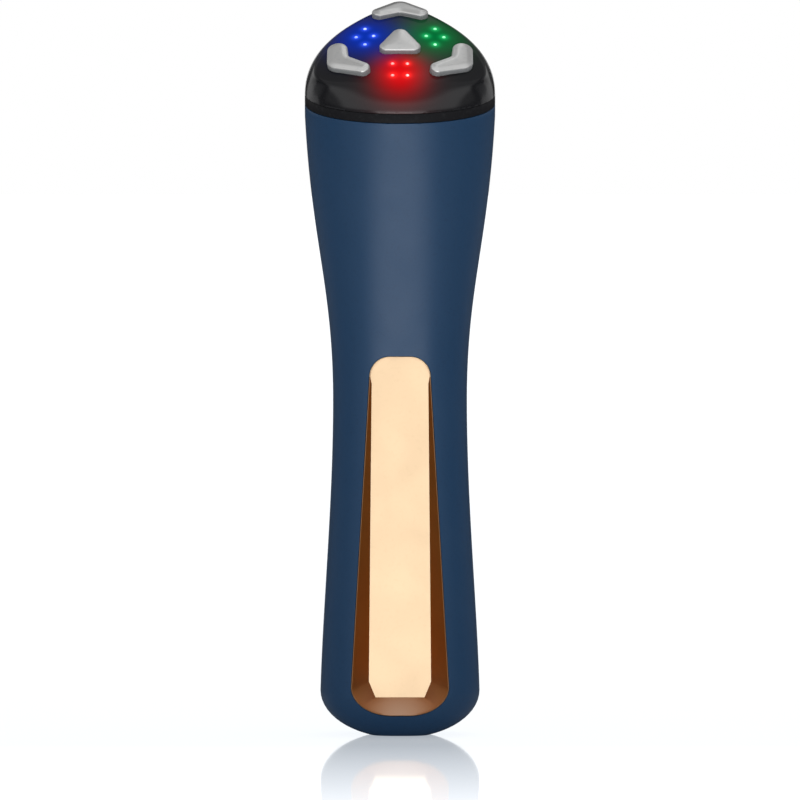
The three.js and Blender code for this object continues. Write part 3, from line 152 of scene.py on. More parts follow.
def skin(rows: int, count: int, closed: bool = False) -> list[list[int]]:
    """Faces between rings whose points lie one ring after another.

    Args:
        rows: Number of rings.
        count: Points in each ring.
        closed: Skin from the last ring back to the first, too.

    Returns:
        Vertex indices of each face.
    """
    faces: list[list[int]] = []
    for row in range(rows if closed else rows - 1):
        low, high = row * count, (row + 1) % rows * count
        for side in range(count):
            step = (side + 1) % count
            faces.append([low + side, low + step, high + step, high + side])
    return faces


def loft(name: str, rings: Sequence[Ring], hubs: bool = False) -> Piece:
    """Closed body skinned over rings that all have the same number of points.

    Args:
        name: Name of the piece.
        rings: Rings from one end to the other.
        hubs: Close each end by a fan round its middle and not by one flat face.

    Returns:
        The new object, its faces pointing out.
    """
    count = len(rings[0])
    points = [point for ring in rings for point in ring]
    faces = skin(len(rings), count)
    last = (len(rings) - 1) * count
    for start, up in ((0, False), (last, True)):
        loop = [start + side for side in range(count)]
        if not hubs:
            faces.append(loop if up else loop[::-1])
            continue
        points.append(sum((points[i] for i in loop), Vector()) / count)
        hub = len(points) - 1
        for side in range(count):
            a, b = loop[side], loop[(side + 1) % count]
            faces.append([a, b, hub] if up else [b, a, hub])
    return new_piece(name, points, faces)


def turn_out(piece: Piece) -> None:
    """Flips the piece's faces if its volume comes out negative."""
    mesh = piece.data
    mesh.calc_loop_triangles()
    volume = 0.0
    for triangle in mesh.loop_triangles:
        a, b, c = (mesh.vertices[i].co for i in triangle.vertices)
        volume += a.dot(b.cross(c))
    if volume < 0:
        mesh.flip_normals()


def smooth(piece: Piece, angle: float = 34.0) -> None:
    """Shades a piece smooth and keeps edges sharper than the angle crisp.

    Args:
        piece: Object to shade.
        angle: Largest bend that is shaded smooth, in degrees.
    """
    for polygon in piece.data.polygons:
        polygon.use_smooth = True
    piece.data.set_sharp_from_angle(angle=math.radians(angle))


def settle(piece: Piece) -> None:
    """Turns a piece's modifiers into its plain mesh."""
    graph = bpy.context.evaluated_depsgraph_get()
    made = bpy.data.meshes.new_from_object(piece.evaluated_get(graph))
    made.name = piece.name
    piece.modifiers.clear()
    piece.data = made


def carve(piece: Piece, tools: Iterable[Piece], how: str = "DIFFERENCE") -> Piece:
    """Cuts tools out of a piece, or joins or intersects them, and deletes the tools.

    Args:
        piece: Object that is changed.
        tools: Closed objects used one after another.
        how: DIFFERENCE, UNION or INTERSECT.

    Returns:
        The same piece.
    """
    for tool in tools:
        change = piece.modifiers.new("carve", "BOOLEAN")
        change.operation = how
        change.solver = "MANIFOLD"
        change.object = tool
        settle(piece)
        bpy.data.objects.remove(tool)
    smooth(piece)
    return piece


def borrow_normals(piece: Piece, form: Piece, reach: float = 2e-5, agreement: float = 0.9) -> None:
    """Shades the uncut parts of a carved piece exactly as the whole form was shaded.

    Args:
        piece: Carved object.
        form: Its form before carving, which is deleted.
        reach: How near to the form a corner has to lie.
        agreement: Least cosine between its face and the form's.
    """
    least = 1e-9
    source = form.data
    tree = BVHTree.FromPolygons([v.co for v in source.vertices], [p.vertices for p in source.polygons])
    mesh = piece.data
    normals: list[Vector] = [Vector(corner.vector) for corner in mesh.corner_normals]
    for polygon in mesh.polygons:
        for loop in polygon.loop_indices:
            place = mesh.vertices[mesh.loops[loop].vertex_index].co
            hit, flat, index, distance = tree.find_nearest(place)
            if hit is None or distance > reach or flat.dot(polygon.normal) < agreement:
                continue
            corners = source.polygons[index].vertices
            weights = [1 / ((source.vertices[i].co - place).length + least) ** 2 for i in corners]
            blend = sum((source.vertices[i].normal * w for i, w in zip(corners, weights)), Vector())
            normals[loop] = blend.normalized()
    mesh.normals_split_custom_set(normals)
    bpy.data.objects.remove(form)


def block(name: str, low: Sequence[float], high: Sequence[float]) -> Piece:
    """Box between two corners."""
    corners = ((low[0], low[1]), (high[0], low[1]), (high[0], high[1]), (low[0], high[1]))
    return loft(name, [flat_ring(corners, height) for height in (low[2], high[2])])


def slab(name: str, low: float, high: float) -> Piece:
    """Block between two depths that reaches past the wand every other way."""
    return block(name, (-REACH, low, -REACH), (REACH, high, 4 * REACH))


def turned(name: str, profile: Sequence[Point], sides: int) -> Piece:
    """Body of revolution about Z.

    Args:
        name: Name of the piece.
        profile: Radius and height of each ring, from bottom to top.
        sides: Facets round the axis.

    Returns:
        The new closed object.
    """
    turns = [TURN * side / sides for side in range(sides)]
    rings = [flat_ring([(r * math.cos(turn), r * math.sin(turn)) for turn in turns], z) for r, z in profile]
    return loft(name, rings, hubs=True)


def place(piece: Piece, matrix: Matrix) -> Piece:
    """Moves the points of a piece, whose object stays at the origin."""
    piece.data.transform(matrix)
    piece.data.update()
    return piece


def bezier(a: float, b: float, c: float, d: float, t: float) -> float:
    """One coordinate of a cubic Bezier curve."""
    u = 1 - t
    return a * u ** 3 + 3 * b * u * u * t + 3 * c * u * t * t + d * t ** 3


@dataclass(frozen=True)
class Section:
    """One level section of the handle, a superellipse."""

    half_width: float
    half_depth: float
    power: float

    def at(self, angle: float) -> Point:
        """Point of the outline at one parametric angle."""
        cos, sin = math.cos(angle), math.sin(angle)
        return (
            math.copysign(self.half_width * abs(cos) ** (2 / self.power), cos),
            math.copysign(self.half_depth * abs(sin) ** (2 / self.power), sin),
        )


@dataclass
class Handle:
    """Form of the handle from its rounded base to the tilted parting line."""

    foot_width: float = 0.014
    foot_depth: float = 0.0124
    base_width: float = 0.039
    base_depth: float = 0.033
    base_height: float = 0.011
    waist_width: float = 0.0328
    waist_depth: float = 0.029
    waist_height: float = 0.082
    shoulder_width: float = 0.0466
    shoulder_depth: float = 0.040
    shoulder_height: float = 0.152
    handle_power: float = 2.6
    shoulder_power: float = 2.1
    parting_height: float = 0.1548
    parting_tilt: float = math.radians(11.7)
    wall: float = 0.0022
    sides: int = 160
    upper_pulls: Point = (0.4, 0.45)  # shares of the way at which the curve's two handles lie
    upper_swell: float = 0.77
    lower_pulls: Point = (0.3, 0.35)  # the same from the base up to the waist
    lower_swell: float = 0.8
    tilt_length: float = 0.006  # over which the last rings tilt

    def _swell(self, height: float) -> float:
        """How far the outline has gone from the waist (0) to the base or the shoulder (1)."""
        if height > self.waist_height:
            start, end, pulls = self.waist_height, self.shoulder_height, self.upper_pulls
            shares = (0.0, 0.0, self.upper_swell, 1.0)
        else:
            start, end, pulls = self.base_height, self.waist_height, self.lower_pulls
            shares = (1.0, self.lower_swell, 0.0, 0.0)
        span = end - start
        ends = (start, start + pulls[0] * span, end - pulls[1] * span, end)
        target = min(max(height, self.base_height), self.shoulder_height)
        low, high, halvings = 0.0, 1.0, 30
        for _ in range(halvings):
            middle = (low + high) / 2
            if bezier(*ends, middle) < target:
                low = middle
            else:
                high = middle
        return bezier(*shares, (low + high) / 2)

    def section(self, height: float, inset: float = 0.0) -> Section:
        """Level section at one height, pulled in by inset.

        Args:
            height: Height above the foot.
            inset: Distance inside the outer surface.

        Returns:
            The section's half sizes and squareness.
        """
        swell = self._swell(height)
        if height > self.waist_height:
            return Section(
                lerp(self.waist_width, self.shoulder_width, swell) / 2 - inset,
                lerp(self.waist_depth, self.shoulder_depth, swell) / 2 - inset,
                lerp(self.handle_power, self.shoulder_power, swell),
            )
        half_width = lerp(self.waist_width, self.base_width, swell) / 2 - inset
        half_depth = lerp(self.waist_depth, self.base_depth, swell) / 2 - inset
        if height < self.base_height:
            drop = self.base_height - height
            across = self.base_height / math.sqrt(1 - (self.foot_width / self.base_width) ** 2) - inset
            along = self.base_height / math.sqrt(1 - (self.foot_depth / self.base_depth) ** 2) - inset
            half_width *= math.sqrt(1 - (drop / across) ** 2)
            half_depth *= math.sqrt(1 - (drop / along) ** 2)
        return Section(half_width, half_depth, self.handle_power)

    def depth(self, x: float, height: float, inset: float = 0.0) -> float:
        """Distance from the wand's axis to its front or back surface."""
        shape, most = self.section(height, inset), 0.999
        across = min(abs(x) / shape.half_width, most)
        return shape.half_depth * (1 - across ** shape.power) ** (1 / shape.power)

    def laid(self, points: Iterable[Point], lift: float = 0.0, side: int = 1) -> Ring:
        """Ring of points given as x and height, laid over the surface by lift.

        Args:
            points: The points.
            lift: Distance out of the surface.
            side: 1 for the back, -1 for the front.

        Returns:
            The ring.
        """
        return [Vector((x, side * (self.depth(x, height) + lift), height)) for x, height in points]

    def edged(self, outline: Outline, edge: float, steps: int, lift: float = 0.0, way: int = -1,
              side: int = 1) -> list[Ring]:
        """Rings of a rounded edge that stands on an outline.

        Args:
            outline: The outline, which can grow and shrink.
            edge: Radius of the edge.
            steps: Its number of chords.
            lift: How far its end lies out of the surface.
            way: -1 if the edge turns inward, 1 if it turns outward.
            side: 1 for the back, -1 for the front.

        Returns:
            The rings from the edge's side to its top.
        """
        return [self.laid(outline(way * inset), lift - sink, side) for inset, sink in rounding(edge, steps)]

    def parting(self, y: float, lift: float = 0.0) -> float:
        """Height of the tilted parting plane over a point of the section."""
        return self.parting_height + lift + y * math.tan(self.parting_tilt)

    def angles(self) -> list[float]:
        """Angles of the points of a ring."""
        return [TURN * side / self.sides for side in range(self.sides)]

    def parting_ring(self, inset: float, lift: float) -> Ring:
        """Ring of the head's section in a plane parallel to the parting line."""
        shape = self.section(self.shoulder_height, inset)
        points = (shape.at(angle) for angle in self.angles())
        return [Vector((x, y, self.parting(y, lift))) for x, y in points]

    def rings(self, inset: float, lift: float = 0.0) -> list[Ring]:
        """Rings from the foot up to the parting plane.

        Args:
            inset: Distance inside the outer surface.
            lift: Height of the last ring over the parting plane.

        Returns:
            The rings, of which the last ones tilt toward the parting plane.
        """
        base_rows, grip_rows, neck_rows, tilt_rows = 14, 26, 30, 6
        neck_top = self.shoulder_height - self.tilt_length
        heights = [inset + (self.base_height - inset) * (1 - math.cos(QUARTER * row / base_rows))
                   for row in range(base_rows)]
        heights += [lerp(self.base_height, self.waist_height, row / grip_rows) for row in range(grip_rows)]
        heights += [lerp(self.waist_height, neck_top, row / neck_rows) for row in range(neck_rows)]
        rings = []
        for height in heights:
            shape = self.section(height, inset)
            rings.append(flat_ring((shape.at(angle) for angle in self.angles()), height))
        for row in range(tilt_rows + 1):
            ring = []
            for angle in self.angles():
                _, y = self.section(self.shoulder_height, inset).at(angle)
                height = lerp(neck_top, self.parting(y, lift), row / tilt_rows)
                ring.append(Vector((*self.section(height, inset).at(angle), height)))
            rings.append(ring)
        return rings


@dataclass
class Head:
    """Form of the treatment head: a dome of three round lobes on a tilted frame."""

    handle: Handle
    tilt: float = math.radians(35)
    height: float = 0.1689
    setback: float = -0.005
    dome_radius: float = 0.095
    side_flat: float = 0.0158
    front_flat: float = 0.0142
    lobe_reach: float = 0.025
    side_flat_angle: float = math.radians(40)
    corner_power: float = 6.0
    face_share: float = 0.9
    wall_fullness: float = 0.5
    shoulder_fullness: float = 0.45
    probe: float = 0.0005  # step along the dome that tells its slope
    frame: Matrix = field(init=False)

    def __post_init__(self) -> None:
        """Works out the frame of the face: x across, y up the face, z out of it."""
        self.frame = Matrix.Translation((0, self.setback, self.height)) @ Matrix.Rotation(self.tilt, 4, "X")

    def drop(self, radius: float) -> float:
        """How far the dome has fallen at one distance from its middle."""
        return radius ** 2 / (2 * self.dome_radius)

    def edge(self, angle: float) -> float:
        """Distance from the face's middle to its edge."""
        flats = (
            (self.side_flat_angle, self.side_flat),
            (math.pi - self.side_flat_angle, self.side_flat),
            (-QUARTER, self.front_flat),
        )
        total = self.lobe_reach ** -self.corner_power
        for normal, distance in flats:
            total += (max(math.cos(angle - normal), 0) / distance) ** self.corner_power
        return total ** (-1 / self.corner_power)

    def on_face(self, radius: float, angle: float, rise: float = 0.0) -> Vector:
        """Place on the dome, or over it by rise."""
        flat = Vector((radius * math.cos(angle), radius * math.sin(angle), rise - self.drop(radius)))
        return self.frame @ flat

    def seat(self, reach: float, angle: float, heading: float) -> Matrix:
        """Frame of a piece on the dome, its own y pointing along the heading.

        Args:
            reach: Distance from the face's middle.
            angle: Direction of the piece from the middle.
            heading: Direction that its y axis takes.

        Returns:
            The frame in the wand's axes.
        """
        lean = reach / self.dome_radius
        out = Vector((lean * math.cos(angle), lean * math.sin(angle), 1)).normalized()
        along = Vector((math.cos(heading), math.sin(heading), 0))
        along = (along - out * along.dot(out)).normalized()
        across = along.cross(out)
        local = Matrix((across, along, out)).transposed().to_4x4()
        local.translation = Vector((reach * math.cos(angle), reach * math.sin(angle), -self.drop(reach)))
        return self.frame @ local

    def rings(self, inset: float, lift: float, wall_rows: int = 26, face_rows: int = 14) -> list[Ring]:
        """Rings from the trim ring up the wall and in across the face.

        Args:
            inset: Distance inside the outer surface.
            lift: Height of the first ring over the parting plane.
            wall_rows: Rows from the trim ring to the face.
            face_rows: Rows across the face.

        Returns:
            The rings, of which the last is near the face's middle.
        """
        rim = self.handle.parting_ring(inset, lift)
        meridians: list[Ring] = []
        for start, angle in zip(rim, self.handle.angles()):
            edge = (self.edge(angle) - inset) * self.face_share
            shoulder = self.on_face(edge, angle, -inset)
            slope = (self.on_face(edge + self.probe, angle, -inset) - shoulder).normalized()
            span = (start.xy - shoulder.xy).length
            wall = start + Vector((0, 0, (shoulder.z - start.z) * self.wall_fullness))
            over = shoulder + slope * span * self.shoulder_fullness
            points = [Vector(bezier(*ends, row / wall_rows) for ends in zip(start, wall, over, shoulder))
                      for row in range(wall_rows + 1)]
            points += [self.on_face(edge * (1 - row / (face_rows + 1)), angle, -inset)
                       for row in range(1, face_rows + 1)]
            meridians.append(points)
        return [[points[row] for points in meridians] for row in range(len(meridians[0]))]


@dataclass
class Tray:
    """Form of the sunk grip electrode: a long trough with sloping sides and a flat floor."""

    handle: Handle
    top: float = 0.0934
    bottom: float = 0.0054
    top_half: float = 0.0075
    bottom_half: float = 0.012
    widest: float = 0.0125
    top_corner: float = 0.005
    bottom_corner: float = 0.010
    rim: float = 0.00022
    floor_top_half: float = 0.0069
    floor_bottom_half: float = 0.0076
    floor_bottom: float = 0.0098
    chamfer_width: float = 0.0016
    chamfer_height: float = 0.0039
    floor_top_depth: float = 0.0015
    floor_bottom_depth: float = 0.0056
    gap: float = 0.00004
    corner_steps: int = 24
    side_steps: int = 44

    def _outline(self, top: float, bottom: float, top_half: float, bottom_half: float, widest: float,
                 top_corner: float, corner: Callable[[float], Point], narrowing: float = 0.0) -> list[Point]:
        """Outline from its top middle down one side and up the other.

        Args:
            top: Highest point.
            bottom: Lowest point.
            top_half: Half width below the top corner.
            bottom_half: Half width at the widest height.
            widest: Height of that.
            top_corner: Radius of the top corners.
            corner: Inward and downward share of the bottom corner's path at each share of it.
            narrowing: How far the sides step in under the top corners.

        Returns:
            Points as x and height.
        """
        half: list[Point] = []
        for step in range(self.corner_steps + 1):
            turn = QUARTER * step / self.corner_steps
            half.append((top_half - top_corner * (1 - math.sin(turn)),
                         top - top_corner * (1 - math.cos(turn))))
        for step in range(1, self.side_steps):
            share = step / self.side_steps
            half.append((lerp(top_half - narrowing, bottom_half, share),
                         lerp(top - top_corner, widest, share)))
        for step in range(self.corner_steps + 1):
            inward, down = corner(step / self.corner_steps)
            half.append((bottom_half - inward, widest - (widest - bottom) * down))
        return half + [(-x, height) for x, height in reversed(half)]

    def rim_outline(self, grow: float) -> list[Point]:
        """Outline of the trough on the handle's surface, grown outward."""
        reach = self.bottom_corner + grow
        return self._outline(
            self.top + grow, self.bottom - grow, self.top_half + grow, self.bottom_half + grow,
            self.widest, self.top_corner + grow,
            lambda share: (reach * (1 - math.cos(share * QUARTER)), math.sin(share * QUARTER)),
        )

    def floor_outline(self, grow: float) -> list[Point]:
        """Outline of the flat floor, grown outward, its lower corners chamfered."""
        half = self.floor_bottom_half + grow
        inset = self.rim + self.gap
        edge = half - self.chamfer_width - (self.bottom_half - self.bottom_corner)
        return self._outline(
            self.top - inset + grow, self.floor_bottom - grow,
            self.top_half - inset + grow, half, self.floor_bottom + self.chamfer_height,
            self.top_corner - inset + grow,
            lambda share: (self.chamfer_width * min(2 * share, 1) + edge * max(2 * share - 1, 0),
                           min(2 * share, 1)),
            self.top_half - inset - self.floor_top_half,
        )

    def floor_depth(self, height: float) -> float:
        """Depth of the floor, measured from the wand's axis."""
        top_depth = self.handle.depth(0, self.top) - self.floor_top_depth
        bottom_depth = self.handle.depth(0, self.widest) - self.floor_bottom_depth
        return lerp(top_depth, bottom_depth, (self.top - height) / (self.top - self.widest))

    def rim_ring(self, grow: float, lift: float) -> Ring:
        """Rim outline laid over the handle's surface by lift."""
        return self.handle.laid(self.rim_outline(grow), lift, -1)

    def floor_ring(self, grow: float, sink: float = 0.0) -> Ring:
        """Floor outline laid on the floor's plane, or behind it by sink."""
        return [Vector((x, sink - self.floor_depth(height), height))
                for x, height in self.floor_outline(grow)]


class Patch:
    """Short way to lay nodes in a material's or a group's tree."""

    def __init__(self, tree: bpy.types.NodeTree) -> None:
        """Keeps the tree that nodes are laid in."""
        self.tree = tree

    def node(self, kind: str, **settings: object) -> Node:
        """New node of a kind, with its properties set."""
        made = self.tree.nodes.new(kind)
        for name, value in settings.items():
            setattr(made, name, value)
        return made

    def feed(self, socket: Socket, value: object) -> None:
        """Links a socket to a value's socket, or sets it to a constant."""
        if isinstance(value, Socket):
            self.tree.links.new(value, socket)
        else:
            socket.default_value = value

    def fill(self, node: Node, values: dict[str, object]) -> Node:
        """Feeds a node's inputs by name."""
        for label, value in values.items():
            self.feed(node.inputs[label], value)
        return node

    def fed(self, kind: str, values: Sequence[object], **settings: object) -> Node:
        """New node of a kind, its first inputs fed in order."""
        made = self.node(kind, **settings)
        for socket, value in zip(made.inputs, values):
            self.feed(socket, value)
        return made

    def math(self, how: str, *values: object) -> Socket:
        """Result of a Math node."""
        return self.fed("ShaderNodeMath", values, operation=how).outputs[0]

    def vector(self, how: str, *values: object) -> Node:
        """A Vector Math node."""
        return self.fed("ShaderNodeVectorMath", values, operation=how)

    def scaled(self, value: object, scale: object) -> Socket:
        """Vector or colour times a number."""
        return self.fill(self.vector("SCALE", value), {"Scale": scale}).outputs[0]

    def ramp(self, value: object, low: float, high: float, to_low: object = 0.0,
             to_high: object = 1.0) -> Socket:
        """Value mapped from one range to another, smooth at both ends."""
        return self.fed("ShaderNodeMapRange", (value, low, high, to_low, to_high),
                        interpolation_type="SMOOTHSTEP").outputs[0]

    def mix(self, share: object, first: object, second: object) -> Socket:
        """Colour mixed from two by a share."""
        made = self.node("ShaderNodeMix", data_type="RGBA")
        for socket, value in zip((made.inputs["Factor"], made.inputs[6], made.inputs[7]),
                                 (share, first, second)):
            self.feed(socket, value)
        return made.outputs[2]

    def group(self, tree: bpy.types.NodeTree, **values: object) -> bpy.types.NodeOutputs:
        """Outputs of a shared group whose inputs are fed by name."""
        return self.fill(self.node("ShaderNodeGroup", node_tree=tree), values).outputs

    def place(self) -> Socket:
        """Place on the object, in metres."""
        return self.node("ShaderNodeTexCoord").outputs["Object"]


def rgba(red: float, green: float, blue: float) -> Colour:
    """Linear colour of a screen colour given in 0 to 255."""

    def linear(value: float) -> float:
        """One channel without its screen gamma."""
        share = value / 255
        return share / 12.92 if share <= 0.04045 else ((share + 0.055) / 1.055) ** 2.4

    return linear(red), linear(green), linear(blue), 1.0


NOWHERE = (0.0, 0.0, 0.0)
WHITE = (1.0, 1.0, 1.0, 1.0)
SOCKET_KINDS = {1: "NodeSocketFloat", 3: "NodeSocketVector", 4: "NodeSocketColor"}


class Effects:
    """Surface effects that several finishes share, each a node group built once."""

    PEAKS = (0.52, 0.7)  # noise values between which a peak starts to show
    PATCHES = (0.3, 0.7)
    FALL = (-0.0008, -0.0002)  # how far under the dome its mask begins and ends

    def __init__(self) -> None:
        """Builds the groups."""
        self.grain = self._grain()
        self.wear = self._wear()
        self.brush = self._brush()
        self.bloom = self._bloom()
        self.dome = self._dome()

    @staticmethod
    def _open(name: str, inputs: dict[str, object], outputs: dict[str, object]
              ) -> tuple[Patch, bpy.types.NodeOutputs, bpy.types.NodeInputs]:
        """Starts a group, each socket of the kind that its default has.

        Args:
            name: Name of the group.
            inputs: Default of each input by name.
            outputs: Default of each output by name.

        Returns:
            The patch, the sockets that give what comes in and those that take what goes out.
        """
        tree = bpy.data.node_groups.new(name, "ShaderNodeTree")
        for way, sockets in (("INPUT", inputs), ("OUTPUT", outputs)):
            for label, default in sockets.items():
                kind = SOCKET_KINDS[len(default) if isinstance(default, tuple) else 1]
                tree.interface.new_socket(label, in_out=way, socket_type=kind).default_value = default
        patch = Patch(tree)
        return patch, patch.node("NodeGroupInput").outputs, patch.node("NodeGroupOutput").inputs

    @staticmethod
    def _noise(patch: Patch, place: Socket, scale: Socket, detail: object, distortion: float = 0.0) -> Socket:
        """Smooth noise from 0 to 1 at a place."""
        return patch.fill(patch.node("ShaderNodeTexNoise"), {
            "Vector": place, "Scale": scale, "Detail": detail, "Distortion": distortion}).outputs[0]

    def _grain(self) -> bpy.types.NodeTree:
        """Fine moulded or sprayed texture: a height from -0.5 to 0.5 and a mask of its peaks."""
        patch, given, made = self._open("fine_grain", {"Place": NOWHERE, "Scale": 2500.0, "Detail": 3.0},
                                        {"Height": 0.0, "Peaks": 0.0})
        value = self._noise(patch, given["Place"], given["Scale"], given["Detail"])
        patch.feed(made["Height"], patch.math("SUBTRACT", value, 0.5))
        patch.feed(made["Peaks"], patch.ramp(value, *self.PEAKS))
        return patch.tree

    def _wear(self) -> bpy.types.NodeTree:
        """Slow uneven patches left by hands and polishing, from Low to High."""
        patch, given, made = self._open(
            "handling", {"Place": NOWHERE, "Scale": 60.0, "Low": 0.0, "High": 1.0}, {"Value": 0.0})
        value = self._noise(patch, given["Place"], given["Scale"], detail=4.0, distortion=0.6)
        patch.feed(made["Value"], patch.ramp(value, *self.PATCHES, given["Low"], given["High"]))
        return patch.tree

    def _brush(self) -> bpy.types.NodeTree:
        """Fine lines drawn along one axis of a stretched place."""
        patch, given, made = self._open(
            "brush_lines", {"Place": NOWHERE, "Stretch": (1.0, 1.0, 1.0), "Scale": 1500.0}, {"Height": 0.0})
        drawn = patch.vector("MULTIPLY", given["Place"], given["Stretch"]).outputs[0]
        value = self._noise(patch, drawn, given["Scale"], detail=2.0)
        patch.feed(made["Height"], patch.math("SUBTRACT", value, 0.5))
        return patch.tree

    def _bloom(self) -> bpy.types.NodeTree:
        """Glow that falls off with the distance from a centre, coloured and masked."""
        patch, given, made = self._open(
            "light_bloom",
            {"Place": NOWHERE, "Centre": NOWHERE, "Reach": 0.005, "Softness": 2.0, "Colour": WHITE},
            {"Colour": WHITE, "Mask": 0.0})
        away = patch.vector("DISTANCE", given["Place"], given["Centre"]).outputs["Value"]
        power = patch.math("POWER", patch.math("DIVIDE", away, given["Reach"]), given["Softness"])
        mask = patch.math("EXPONENT", patch.math("MULTIPLY", power, -1.0))
        patch.feed(made["Colour"], patch.scaled(given["Colour"], mask))
        patch.feed(made["Mask"], mask)
        return patch.tree

    def _dome(self) -> bpy.types.NodeTree:
        """Mask of a domed face, 1 on the dome and 0 on the walls that fall away from it."""
        patch, given, made = self._open(
            "dome_mask", {"Place": NOWHERE, "Centre": NOWHERE, "Axis": (0.0, 0.0, 1.0), "Radius": 0.1},
            {"Mask": 0.0})
        away = patch.vector("SUBTRACT", given["Place"], given["Centre"]).outputs[0]
        height = patch.vector("DOT_PRODUCT", away, given["Axis"]).outputs["Value"]
        reach = patch.vector("DOT_PRODUCT", away, away).outputs["Value"]
        sag = patch.math("DIVIDE", reach, patch.math("MULTIPLY", given["Radius"], 2.0))
        patch.feed(made["Mask"], patch.ramp(patch.math("ADD", height, sag), *self.FALL))
        return patch.tree


def opened(material: Material) -> tuple[Patch, Node]:
    """Patch of a material's tree, and its shader."""
    return Patch(material.node_tree), material.node_tree.nodes["Principled BSDF"]


@dataclass(frozen=True)
class Glow:
    """One patch of light that falls off with the distance from its centre."""

    centre: Vector
    reach: float
    softness: float
    colour: Colour = WHITE


@dataclass(frozen=True)
class Finish:
    """A finish with slow handling patches and a fine texture.

    The colour wanders between two shades, and the roughness between two values.
    """

    name: str
    colour: Colour
    shade: Colour
    smoothest: float = 0.35
    roughest: float = 0.5
    metallic: float = 0.0
    specular: float = 0.5
    grain_scale: float = 2500.0
    grain_height: float = 0.00001
    coat: float = 0.0
    coat_roughness: float = 0.16
    clear: float = 0.0
    wear_scale: float = 70.0

    def build(self, effects: Effects) -> Material:
        """Material of this finish.

        Args:
            effects: The shared groups.

        Returns:
            The new material.
        """
        made = bpy.data.materials.new(self.name)
        made.use_nodes = True
        patch, shader = opened(made)
        place = patch.place()
        rough = patch.group(effects.wear, Place=place, Scale=self.wear_scale, Low=self.smoothest,
                            High=self.roughest)["Value"]
        patch.fill(shader, {
            "Metallic": self.metallic, "Specular IOR Level": self.specular, "Coat Weight": self.coat,
            "Coat Roughness": self.coat_roughness, "Transmission Weight": self.clear,
            "Base Color": self._colours(effects, patch, place), "Roughness": rough,
            "Normal": self._bump(patch, self._texture(effects, patch, place)),
        })
        return made

    def _colours(self, effects: Effects, patch: Patch, place: Socket) -> Socket:
        """Colour that wanders between its two shades."""
        peaks = patch.group(effects.grain, Place=place, Scale=self.grain_scale / 3)["Peaks"]
        return patch.mix(peaks, self.colour, self.shade)

    def _texture(self, effects: Effects, patch: Patch, place: Socket) -> Socket:
        """Height of the fine texture."""
        return patch.group(effects.grain, Place=place, Scale=self.grain_scale)["Height"]

    def _bump(self, patch: Patch, height: Socket) -> Socket:
        """Normal of the surface under its texture."""
        bump = patch.fill(patch.node("ShaderNodeBump"), {
            "Strength": 1.0, "Distance": self.grain_height, "Height": height})
        return bump.outputs["Normal"]


    @staticmethod
    def _blooms(effects: Effects, patch: Patch, glows: Iterable[Glow]
                ) -> tuple[list[bpy.types.NodeOutputs], Socket]:
        """Lays the bloom of each glow.

        Args:
            effects: The shared groups.
            patch: Where the nodes are laid.
            glows: The glows.

        Returns:
            The outputs of each bloom, and the mask of the brightest.
        """
        place, lit = patch.place(), 0.0
        blooms = [patch.group(effects.bloom, Place=place, Centre=glow.centre, Reach=glow.reach,
                              Softness=glow.softness, Colour=glow.colour) for glow in glows]
        for bloom in blooms:
            lit = patch.math("MAXIMUM", lit, bloom["Mask"])
        return blooms, lit


@dataclass(frozen=True)
class BrushedMetal(Finish):
    """Metal with drawn lines along one axis."""

    metallic: float = 1.0
    stretch: tuple[float, float, float] = (0.04, 1.0, 1.0)

    def _texture(self, effects: Effects, patch: Patch, place: Socket) -> Socket:
        """Height of the drawn lines."""
        return patch.group(effects.brush, Place=place, Stretch=self.stretch, Scale=self.grain_scale)["Height"]


@dataclass(frozen=True)
class LitGloss(Finish):
    """Smoked gloss that treatment lights shine through."""

    glows: tuple[Glow, ...] = ()
    face: Head | None = None
    dulled: float = 0.6  # share of the gloss that the unlit face loses
    deep: Colour = (0.001, 0.001, 0.001, 1.0)  # colour of the cap itself over a light

    def build(self, effects: Effects) -> Material:
        """Gloss with the glow of every light added up, duller over the lights."""
        made = super().build(effects)
        patch, shader = opened(made)
        blooms, lit = self._blooms(effects, patch, self.glows)
        total: object = NOWHERE
        for bloom in blooms:
            total = patch.vector("ADD", total, bloom["Colour"]).outputs[0]
        out = self.face.frame.col[2].xyz
        dome = patch.group(effects.dome, Place=patch.place(), Centre=self.face.frame.translation, Axis=out,
                           Radius=self.face.dome_radius)["Mask"]
        loss = patch.math("MULTIPLY_ADD", lit, 1.0 - self.dulled, self.dulled)
        patch.fill(shader, {
            "Emission Color": total, "Emission Strength": 1.0,
            "Coat Weight": patch.math("SUBTRACT", 1.0, patch.math("MULTIPLY", loss, dome)),
            "Base Color": patch.mix(lit, self.colour, self.deep),
        })
        return made


@dataclass(frozen=True)
class GoldWithPaintedShade(Finish):
    """Gold plate with painted shade: its sloping sides are painted darker, toward bronze, away from its lower
    end.
    """

    metallic: float = 1.0
    # painted highlight: the colour is painted paler round the trough's lower end
    pale: Glow = Glow(Vector((0.0, -0.0145, 0.0055)), 0.008, 1.8)

    def _colours(self, effects: Effects, patch: Patch, place: Socket) -> Socket:
        """Painted shade, bronze, up the sides, and a painted highlight, paler, where the trough turns round
        its lower end.
        """
        _, pale = self._blooms(effects, patch, [self.pale])
        return patch.mix(pale, self.colour, self.shade)


@dataclass(frozen=True)
class Lamp(Finish):
    """Light tips that shine by themselves, pale at the middle of each."""

    cores: tuple[Glow, ...] = ()

    def build(self, effects: Effects) -> Material:
        """Clear plastic whose steady light goes from its colour to its shade at each core."""
        made = super().build(effects)
        patch, shader = opened(made)
        _, lit = self._blooms(effects, patch, self.cores)
        patch.fill(shader, {"Emission Color": patch.mix(lit, self.colour, self.shade),
                            "Emission Strength": 1.0})
        return made


